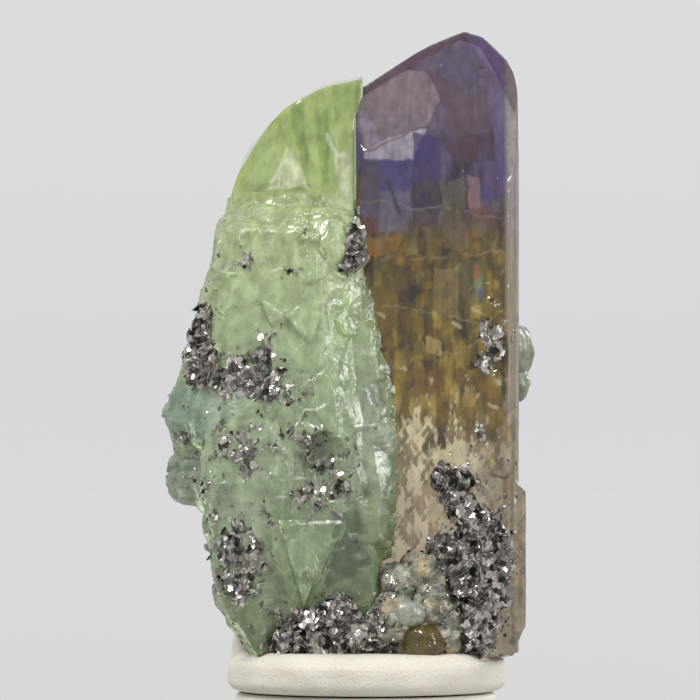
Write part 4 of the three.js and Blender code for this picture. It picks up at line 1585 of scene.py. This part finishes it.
@dataclass
class LumpPiece:
    """A small grown piece made of lumps: a grain, the matrix or the side crystals.

    Attributes:
        name: The piece's name.
        node: The CAD node that it stands for.
        slot: The record's slot; not used.
        lumps: Its lumps.
        axis: Axis of its rays.
        colour: Its colour.
        finish: Its material's maker.
        frost: Share of frosting.
        rough: Height of its relief in millimetres.
        neighbours: Cells that it stays clear of.
        stones: Colours of the small stones that it is made of, where it is made of several.
    """

    name: str
    node: str
    slot: Slot
    lumps: tuple[Lump, ...]
    axis: tuple[Point, ...]
    colour: Colour
    finish: Callable[[], bpy.types.Material]
    frost: float
    rough: float
    neighbours: tuple[Cell, ...] = TANZANITE_CELLS
    stones: tuple[Colour, ...] = ()

    def build(self) -> bpy.types.Object:
        """Casts the skin, roughens and paints it, and dresses it.

        Returns:
            The piece.
        """
        cells = tuple(lump_cell(lump) for lump in self.lumps)
        skin = CrystalSkin(cells, self.axis, (20, 50, 20), 110, self.neighbours, (), 0.04)
        points = skin.points()
        chips = chipped(*grains(points, (0.55, 0.55, 0.55), 73))
        skin.rise((noise(points, (0.6, 0.6, 0.6), len(self.name), 4) + chips) * self.rough)
        points = skin.points()
        piece = ring_mesh(self.name, points)
        mottle = 1.0 + 0.25 * noise(points, (0.5, 0.5, 0.5), 71, 3)
        colour, edge = np.broadcast_to(np.array(self.colour), points.shape), 0.0
        if self.stones:
            colour, edge = windows(points, ((0.0, self.stones), (40.0, self.stones)), (0.55, 0.55, 0.45), 72)
        paint(piece, "tint", np.clip(colour * (mottle - 0.35 * edge)[..., None], DARKEST, 1.0))
        paint(piece, "frost", np.full(points.shape[:2], self.frost))
        paint(piece, "relief", np.ones(points.shape[:2]))
        hand_over(piece, self.node, self.finish())
        return piece


@dataclass
class Graphite:
    """The patches of graphite: the solids' plates as a bed, with finer flakes strewn over their outer faces.

    Attributes:
        density: Flakes for each square millimetre.
        size: Smallest and largest flake radius.
        thickness: A flake's thickness.
        tilt: Spread of the flakes' tilt.
        stretch: How much longer a flake is upwards than sideways.
        loose_tilt: Spread of the tilt of patches' flakes, dust and crumbs.
        patch_size: Smallest and largest radius in the thin patches.
        dust: Density, with smallest and largest radius, of the dust where it is thickest.
        crumbs: The same for the crumbs along the seam.
    """

    density: float = 34.0
    size: tuple[float, float] = (0.06, 0.34)
    thickness: float = 0.02
    tilt: float = 0.26
    stretch: float = 1.8
    loose_tilt: float = 0.3
    patch_size: tuple[float, float] = (0.05, 0.26)
    dust: tuple[float, tuple[float, float]] = (90.0, (0.03, 0.12))
    crumbs: tuple[float, tuple[float, float]] = (130.0, (0.05, 0.14))

    def build(self, nodes: dict[str, bpy.types.Object], hosts: dict[str, bpy.types.Object]) -> None:
        """Strews flakes over every graphite node, dresses node and flakes alike, and dusts the host crystals.

        Args:
            nodes: The CAD nodes by name.
            hosts: The crystals to dust, by name.
        """
        material = GRAPHITE_FINISH.build()
        skins = {name: self.faces(host) for name, host in hosts.items()}
        for number, name in enumerate(sorted(key for key in nodes if key.startswith("graphite_"))):
            bed, random = nodes[name], np.random.default_rng(400 + number)
            triangles, area, facing = self.faces(bed)
            patch = GRAPHITE_PATCHES.get(name)
            weight = area * np.where(facing[:, 1] < (0.35 if patch is None else -0.1), 1.0, 0.03)
            count = int(weight.sum() * (self.density if patch is None else patch[1]))
            middle, normal = self.scattered(triangles, facing, weight, count, random)
            if patch is None:
                bed.data.materials.clear()
                bed.data.materials.append(material)
                flakes = self.plates(name + "_flakes", middle, normal, self.size, self.tilt, random)
                hand_over(flakes, None, material)
            else:
                middle, normal = self.dropped(middle, skins[patch[0]], random)
                flakes = self.plates(
                    name + "_flakes", middle, normal, self.patch_size, self.loose_tilt, random
                )
                hand_over(flakes, name, material)
        for number, (name, skin) in enumerate(sorted(skins.items())):
            random = np.random.default_rng(500 + number)
            dust = self.dusting(name + "_graphite_dust", skin, DUST_SPOTS[name], *self.dust, random)
            hand_over(dust, None, material)
        random = np.random.default_rng(600)
        crumbs = self.dusting("seam_grains", skins["diopside"], SEAM_SPOTS, *self.crumbs, random)
        hand_over(crumbs, None, SEAM_FINISH.build())

    def faces(self, piece: bpy.types.Object) -> tuple[Array, Array, Array]:
        """Reads the triangles of a piece.

        Args:
            piece: The piece.

        Returns:
            The triangles' corners in millimetres, their areas and their normals.
        """
        mesh = piece.data
        mesh.calc_loop_triangles()
        corners = np.empty(len(mesh.loop_triangles) * 3, np.int32)
        mesh.loop_triangles.foreach_get("vertices", corners)
        places = np.empty(len(mesh.vertices) * 3, np.float32)
        mesh.vertices.foreach_get("co", places)
        triangles = places.reshape(-1, 3)[corners.reshape(-1, 3)].astype(float) / MM
        cross = np.cross(triangles[:, 1] - triangles[:, 0], triangles[:, 2] - triangles[:, 0])
        area = np.linalg.norm(cross, axis=1) / 2
        return triangles, area, cross / (2 * area[:, None] + 1e-12)

    def scattered(
        self, triangles: Array, facing: Array, weight: Array, count: int, random: np.random.Generator
    ) -> tuple[Array, Array]:
        """Random places on triangles, with the triangles' normals.

        Args:
            triangles: The triangles' corners.
            facing: Their normals.
            weight: How likely each is.
            count: How many places.
            random: The source of random numbers.

        Returns:
            The places and the normals.
        """
        chosen = random.choice(len(weight), count, p=weight / weight.sum())
        share = random.random((count, 2))
        share = np.where(share.sum(axis=1, keepdims=True) > 1, 1 - share, share)
        sides = triangles[chosen, 1:] - triangles[chosen, :1]
        return triangles[chosen, 0] + (sides * share[..., None]).sum(axis=1), facing[chosen]

    def dropped(
        self, middle: Array, skin: tuple[Array, Array, Array], random: np.random.Generator
    ) -> tuple[Array, Array]:
        """Places spread sideways a little and moved straight back onto the nearest front face of a host.

        Args:
            middle: The places.
            skin: The host's triangles, areas and normals.
            random: The source of random numbers.

        Returns:
            The places on the host and the host's normals there.
        """
        spread = middle[:, [0, 2]] + random.normal(0.0, 0.22, (len(middle), 2))
        centre, facing = skin[0].mean(axis=1), skin[2]
        low, high = spread.min(axis=0) - 0.3, spread.max(axis=0) + 0.3
        flat = centre[:, [0, 2]]
        near = (facing[:, 1] < -0.1) & (flat > low).all(axis=1) & (flat < high).all(axis=1)
        centre, facing = centre[near], facing[near]
        apart = ((spread[:, None] - centre[None, :, [0, 2]]) ** 2).sum(axis=-1)
        nearest = apart.argmin(axis=1)
        return centre[nearest], facing[nearest]

    def dusting(
        self,
        name: str,
        skin: tuple[Array, Array, Array],
        spots: tuple[tuple[float, float, float, float], ...],
        density: float,
        size: tuple[float, float],
        random: np.random.Generator,
    ) -> bpy.types.Object:
        """Fine flakes on a host, thick round some spots and thinning out as a bell curve of the distance.

        Args:
            name: The piece's name.
            skin: The host's triangles, areas and normals.
            spots: Where they are thick, as x, z, half width and half height.
            density: Flakes for each square millimetre where they are thickest.
            size: Smallest and largest radius.
            random: The source of random numbers.

        Returns:
            The flakes as one piece.
        """
        triangles, area, facing = skin
        table = np.array(spots)
        centre = triangles.mean(axis=1)
        apart = (centre[:, None, [0, 2]] - table[:, :2]) / table[:, 2:]
        near = np.exp(-(apart**2).sum(axis=-1)).max(axis=-1)
        gate = smoothstep(-0.1, 0.35, noise(centre, (0.45, 0.9, 0.45), 81, 3))
        weight = area * (facing[:, 1] < -0.1) * near * gate
        middle, normal = self.scattered(triangles, facing, weight, int(weight.sum() * density), random)
        return self.plates(name, middle, normal, size, self.loose_tilt, random)

    def plates(
        self,
        name: str,
        middle: Array,
        facing: Array,
        size: tuple[float, float],
        tilt: float,
        random: np.random.Generator,
    ) -> bpy.types.Object:
        """Six-sided plates at given places, tilted at random from the faces under them.

        Each plate is two hexagons a thickness apart, joined by six walls. Its corners are its middle plus two
        directions in its plane, weighted by the cosine and sine of each corner's angle.

        Args:
            name: The piece's name.
            middle: The plates' middles.
            facing: The normals of the faces under them.
            size: Smallest and largest radius.
            tilt: Spread of their tilt.
            random: The source of random numbers.

        Returns:
            The plates as one piece.
        """
        count = len(middle)
        normal = facing + random.normal(0.0, tilt, (count, 3))
        normal /= np.linalg.norm(normal, axis=1, keepdims=True)
        side = np.cross(normal, np.array([0.3, 0.0, 1.0]) + random.normal(size=(count, 3)) * 0.35)
        side /= np.linalg.norm(side, axis=1, keepdims=True)
        other = np.cross(normal, side) * self.stretch
        radius = size[0] + (size[1] - size[0]) * random.random(count) ** 2
        angle = np.arange(6) * math.pi / 3
        wobble = random.uniform(0.65, 1.1, (count, 6)) * radius[:, None]
        across = side[:, None] * (np.cos(angle) * wobble)[..., None]
        rim = across + other[:, None] * (np.sin(angle) * wobble)[..., None]
        lift = normal[:, None] * self.thickness / 2
        middle = middle[:, None] + normal[:, None] * random.uniform(-0.02, 0.05, (count, 1, 1))
        points = np.concatenate([middle + rim - lift, middle + rim + lift], axis=1).reshape(-1, 3)
        start = np.arange(count)[:, None] * 12
        lower = start + np.arange(5, -1, -1)
        upper = start + np.arange(6, 12)
        step = np.arange(6)
        after = (step + 1) % 6
        wall = np.stack([step, after, after + 6, step + 6], axis=-1)
        walls = (start[:, :, None] + wall[None]).reshape(-1, 4)
        return mesh_object(name, points, [walls, lower, upper], smooth=False)


@dataclass
class RoundPiece:
    """A piece turned about the upright: straight stretches and arcs, carried round, then pressed out of true.

    Attributes:
        name: The piece's name.
        node: The CAD node that it stands for.
        slot: The record's slot; not used.
        finish: Its finish.
        arcs: Each arc's middle as radius and height, its own radius, and its first and last angle in degrees.
        unevenness: How far soft waves move its side, in millimetres.
        banks: Banks pressed up on its top, as middle and half sizes.
    """

    name: str
    node: str
    slot: Slot
    finish: DullFinish
    arcs: tuple[tuple[float, float, float, float, float], ...]
    unevenness: float = 0.0
    banks: tuple[tuple[Point, Point], ...] = ()

    def build(self) -> bpy.types.Object:
        """Carries the profile round, presses it out of true, and dresses it.

        Returns:
            The piece.
        """
        outline = self.profile(150)
        turn = np.linspace(0.0, 2.0 * math.pi, 240, endpoint=False)
        ring = np.stack([np.cos(turn), np.sin(turn), np.zeros_like(turn)], axis=-1)
        points = outline[:, None, :1] * ring + outline[:, None, 1:] * np.array([0.0, 0.0, 1.0])
        share = np.clip(outline[:, 0] / outline[:, 0].max(), 0.0, 1.0)[:, None]
        wave = noise(points, (2.6, 2.6, 1.6), 91, 3) * self.unevenness * share
        notch = np.exp(-(((np.degrees(turn) - 255.0) / 2.2) ** 2))[None, :]
        crease = notch * self.unevenness * 1.3 * share**6
        points = points + ring * (wave - crease)[..., None]
        points[..., 2] = np.maximum(points[..., 2] + wave * (1.0 - share**4) * 0.8, outline[0, 1])
        for middle, half in self.banks:
            apart = (points[..., :2] - np.array(middle[:2])) / np.array(half[:2])
            height = middle[2] + half[2] * np.sqrt(np.clip(1.0 - (apart**2).sum(axis=-1), 0.0, 1.0))
            on_top = points[..., 2] > 4.3
            points[..., 2] = np.where(on_top, np.maximum(points[..., 2], height), points[..., 2])
        piece = ring_mesh(self.name, points)
        hand_over(piece, self.node, self.finish.build())
        return piece

    def profile(self, count: int) -> Array:
        """The arcs joined by straight lines, from the axis below to the axis above, in even steps.

        Args:
            count: How many points.

        Returns:
            Radius and height of each point.
        """
        parts = []
        for reach, height, radius, first, last in self.arcs:
            angle = np.radians(np.linspace(first, last, 12))
            parts.append(np.stack([reach + radius * np.cos(angle), height + radius * np.sin(angle)], axis=-1))
        line = np.concatenate([[(0.05, parts[0][0, 1])], *parts, [(0.05, parts[-1][-1, 1])]])
        length = np.concatenate([[0.0], np.cumsum(np.linalg.norm(np.diff(line, axis=0), axis=1))])
        even = np.linspace(0.0, length[-1], count)
        return np.stack([np.interp(even, length, line[:, k]) for k in range(2)], axis=-1)


@dataclass
class Studio:
    """The pale sweep, the soft lights and the camera.

    Attributes:
        eye: The camera's place in metres.
        frame_width: Width of the picture at the specimen, in metres.
        backdrop: Colours of the sweep, each with its share of the way from the first depth to the last.
        depths: Where those colours start and end, in metres behind the specimen.
        glow: Strength of the sweep's own light.
        floor: How far behind the specimen the floor starts to bend, in millimetres.
        bend: Radius of the bend.
        reach: Half width of the sweep, and height of its wall.
        before: How far the floor runs on in front.
    """

    eye: Point = (-0.00077, -0.315, 0.0194)
    frame_width: float = 0.0336
    backdrop: tuple[tuple[float, Colour], ...] = (
        (0.0, (0.632, 0.632, 0.618)), (0.316, (0.669, 0.670, 0.672)), (0.904, (0.685, 0.686, 0.695)),
        (1.0, (0.72, 0.727, 0.73)),
    )
    depths: tuple[float, float] = (0.05, 0.714)
    glow: float = 0.96
    floor: float = 560.0
    bend: float = 200.0
    reach: float = 1300.0
    before: float = 900.0

    def build(self) -> None:
        """Makes the sweep, the lights, the world and the camera."""
        self.sweep()
        self.light("key_light", (-0.13, -0.12, 0.27), 0.10, 0.9)
        self.light("fill_light", (0.20, -0.14, 0.10), 0.10, 0.3)
        self.light("back_light", (0.16, 0.16, 0.12), 0.12, 0.25)
        world = bpy.data.worlds.new("studio")
        bpy.context.scene.world = world
        world.use_nodes = True
        around = world.node_tree.nodes["Background"]
        around.inputs["Color"].default_value = (0.9, 0.93, 1.0, 1.0)
        around.inputs["Strength"].default_value = 0.6
        self.camera()
        bpy.context.scene.view_settings.view_transform = "Standard"
        cycles = bpy.context.scene.cycles
        cycles.max_bounces = 14
        cycles.transmission_bounces = 12
        cycles.transparent_max_bounces = 8
        cycles.caustics_refractive = True

    def sweep(self) -> None:
        """A floor that curves up into a wall: floor, quarter circle and wall, drawn out sideways."""
        angle = np.linspace(0.0, math.pi / 2, 24)
        away = self.floor + self.bend * np.sin(angle)
        curve = np.stack([away, self.bend - self.bend * np.cos(angle)], axis=-1)
        profile = np.concatenate([[(-self.before, 0.0)], curve, [(self.floor + self.bend, self.reach)]])
        points = np.empty((len(profile), 2, 3))
        points[..., 0] = (-self.reach, self.reach)
        points[..., 1:] = profile[:, None]
        index = np.arange(len(profile) * 2).reshape(-1, 2)
        faces = np.stack([index[:-1, 0], index[:-1, 1], index[1:, 1], index[1:, 0]], axis=-1)
        sweep = mesh_object("sweep", points.reshape(-1, 3), [faces])
        sweep.data.materials.append(self.paper())

    def paper(self) -> bpy.types.Material:
        """The sweep's paper, which gives off a light that changes with depth.

        Returns:
            The new material.
        """
        material, nodes, links = new_material("sweep_paper")
        place = nodes.new("ShaderNodeTexCoord")
        split = nodes.new("ShaderNodeSeparateXYZ")
        links.new(place.outputs["Object"], split.inputs["Vector"])
        depth = nodes.new("ShaderNodeMapRange")
        depth.inputs["From Min"].default_value = self.depths[0]
        depth.inputs["From Max"].default_value = self.depths[1]
        links.new(split.outputs["Y"], depth.inputs["Value"])
        ramp = nodes.new("ShaderNodeValToRGB")
        stops = ramp.color_ramp.elements
        stops[0].color = (*self.backdrop[0][1], 1.0)
        stops[1].color = (*self.backdrop[-1][1], 1.0)
        for share, colour in self.backdrop[1:-1]:
            stops.new(share).color = (*colour, 1.0)
        links.new(depth.outputs["Result"], ramp.inputs["Fac"])
        shader = nodes["Principled BSDF"]
        shader.inputs["Base Color"].default_value = (0.03, 0.03, 0.03, 1.0)
        links.new(ramp.outputs["Color"], shader.inputs["Emission Color"])
        shader.inputs["Emission Strength"].default_value = self.glow
        shader.inputs["Roughness"].default_value = 0.9
        shader.inputs["Specular IOR Level"].default_value = 0.1
        return material

    def light(self, name: str, place: Point, size: float, power: float) -> None:
        """A square soft light that faces the specimen's middle.

        Args:
            name: Its name.
            place: Its place in metres.
            size: Length of its side in metres.
            power: Its power in watts.
        """
        data = bpy.data.lights.new(name, "AREA")
        data.shape = "SQUARE"
        data.size = size
        data.energy = power
        lamp = bpy.data.objects.new(name, data)
        bpy.context.scene.collection.objects.link(lamp)
        lamp.location = place
        lamp.rotation_euler = (Vector((0.0, 0.0, 0.019)) - Vector(place)).to_track_quat("-Z", "Y").to_euler()

    def camera(self) -> None:
        """A long lens that looks level along +Y, with its angle set by the picture's width."""
        data = bpy.data.cameras.new("camera")
        data.sensor_width = 36.0
        data.lens = 36.0 * -self.eye[1] / self.frame_width
        data.clip_start = 0.01
        data.clip_end = 5.0
        made = bpy.data.objects.new("camera", data)
        made.location = self.eye
        made.rotation_euler = (math.pi / 2, 0.0, 0.0)
        bpy.context.scene.collection.objects.link(made)
        bpy.context.scene.camera = made


def main() -> None:
    """Builds every piece in order, then the studio."""
    logging.basicConfig(level=logging.INFO, format="%(name)s: %(message)s")
    nodes = frame["nodes"]
    tanzanite = Tanzanite().build()
    diopside = Diopside().build()
    LumpPiece(
        "side_crystals", "side_diopside", Slot.DIOPSIDE, SIDE_DIOPSIDE_LUMPS,
        axis=((7.15, 1.2, 18.0), (7.15, 1.2, 19.3)), colour=(0.40, 0.46, 0.30),
        finish=DIOPSIDE_FINISH.build, frost=0.6, rough=0.06,
    ).build()
    matrix = LumpPiece(
        "matrix", "cream_matrix", Slot.MATRIX, MATRIX_LUMPS,
        axis=((2.4, -3.55, 5.8), (2.4, -3.5, 8.3)), colour=(0.62, 0.56, 0.44),
        finish=MATRIX_FINISH.build, frost=1.0, rough=0.22,
        neighbours=TANZANITE_CELLS + DIOPSIDE_CELLS, stones=MATRIX_COLOURS,
    ).build()
    LumpPiece(
        "pale_grain_crystal", "pale_grain", Slot.PALE, PALE_LUMPS,
        axis=((1.95, -3.9, 6.8), (1.95, -3.9, 7.0)), colour=(0.62, 0.66, 0.54),
        finish=PALE_FINISH.build, frost=0.5, rough=0.05,
    ).build()
    LumpPiece(
        "honey_crystal", "honey_grain", Slot.HONEY, HONEY_LUMPS,
        axis=((2.7, -4.0, 5.4), (2.7, -4.0, 5.6)), colour=(0.34, 0.25, 0.06),
        finish=HONEY_FINISH.build, frost=0.2, rough=0.04,
    ).build()
    Graphite().build(nodes, {"tanzanite": tanzanite, "diopside": diopside, "matrix": matrix})
    RoundPiece("putty", "display_putty", Slot.PUTTY, PUTTY_FINISH, PUTTY_ARCS, 0.09, PUTTY_BANKS).build()
    RoundPiece("foot", "display_foot", Slot.FOOT, FOOT_FINISH, FOOT_ARCS).build()
    Studio().build()


if __name__ == "__main__":
    main()
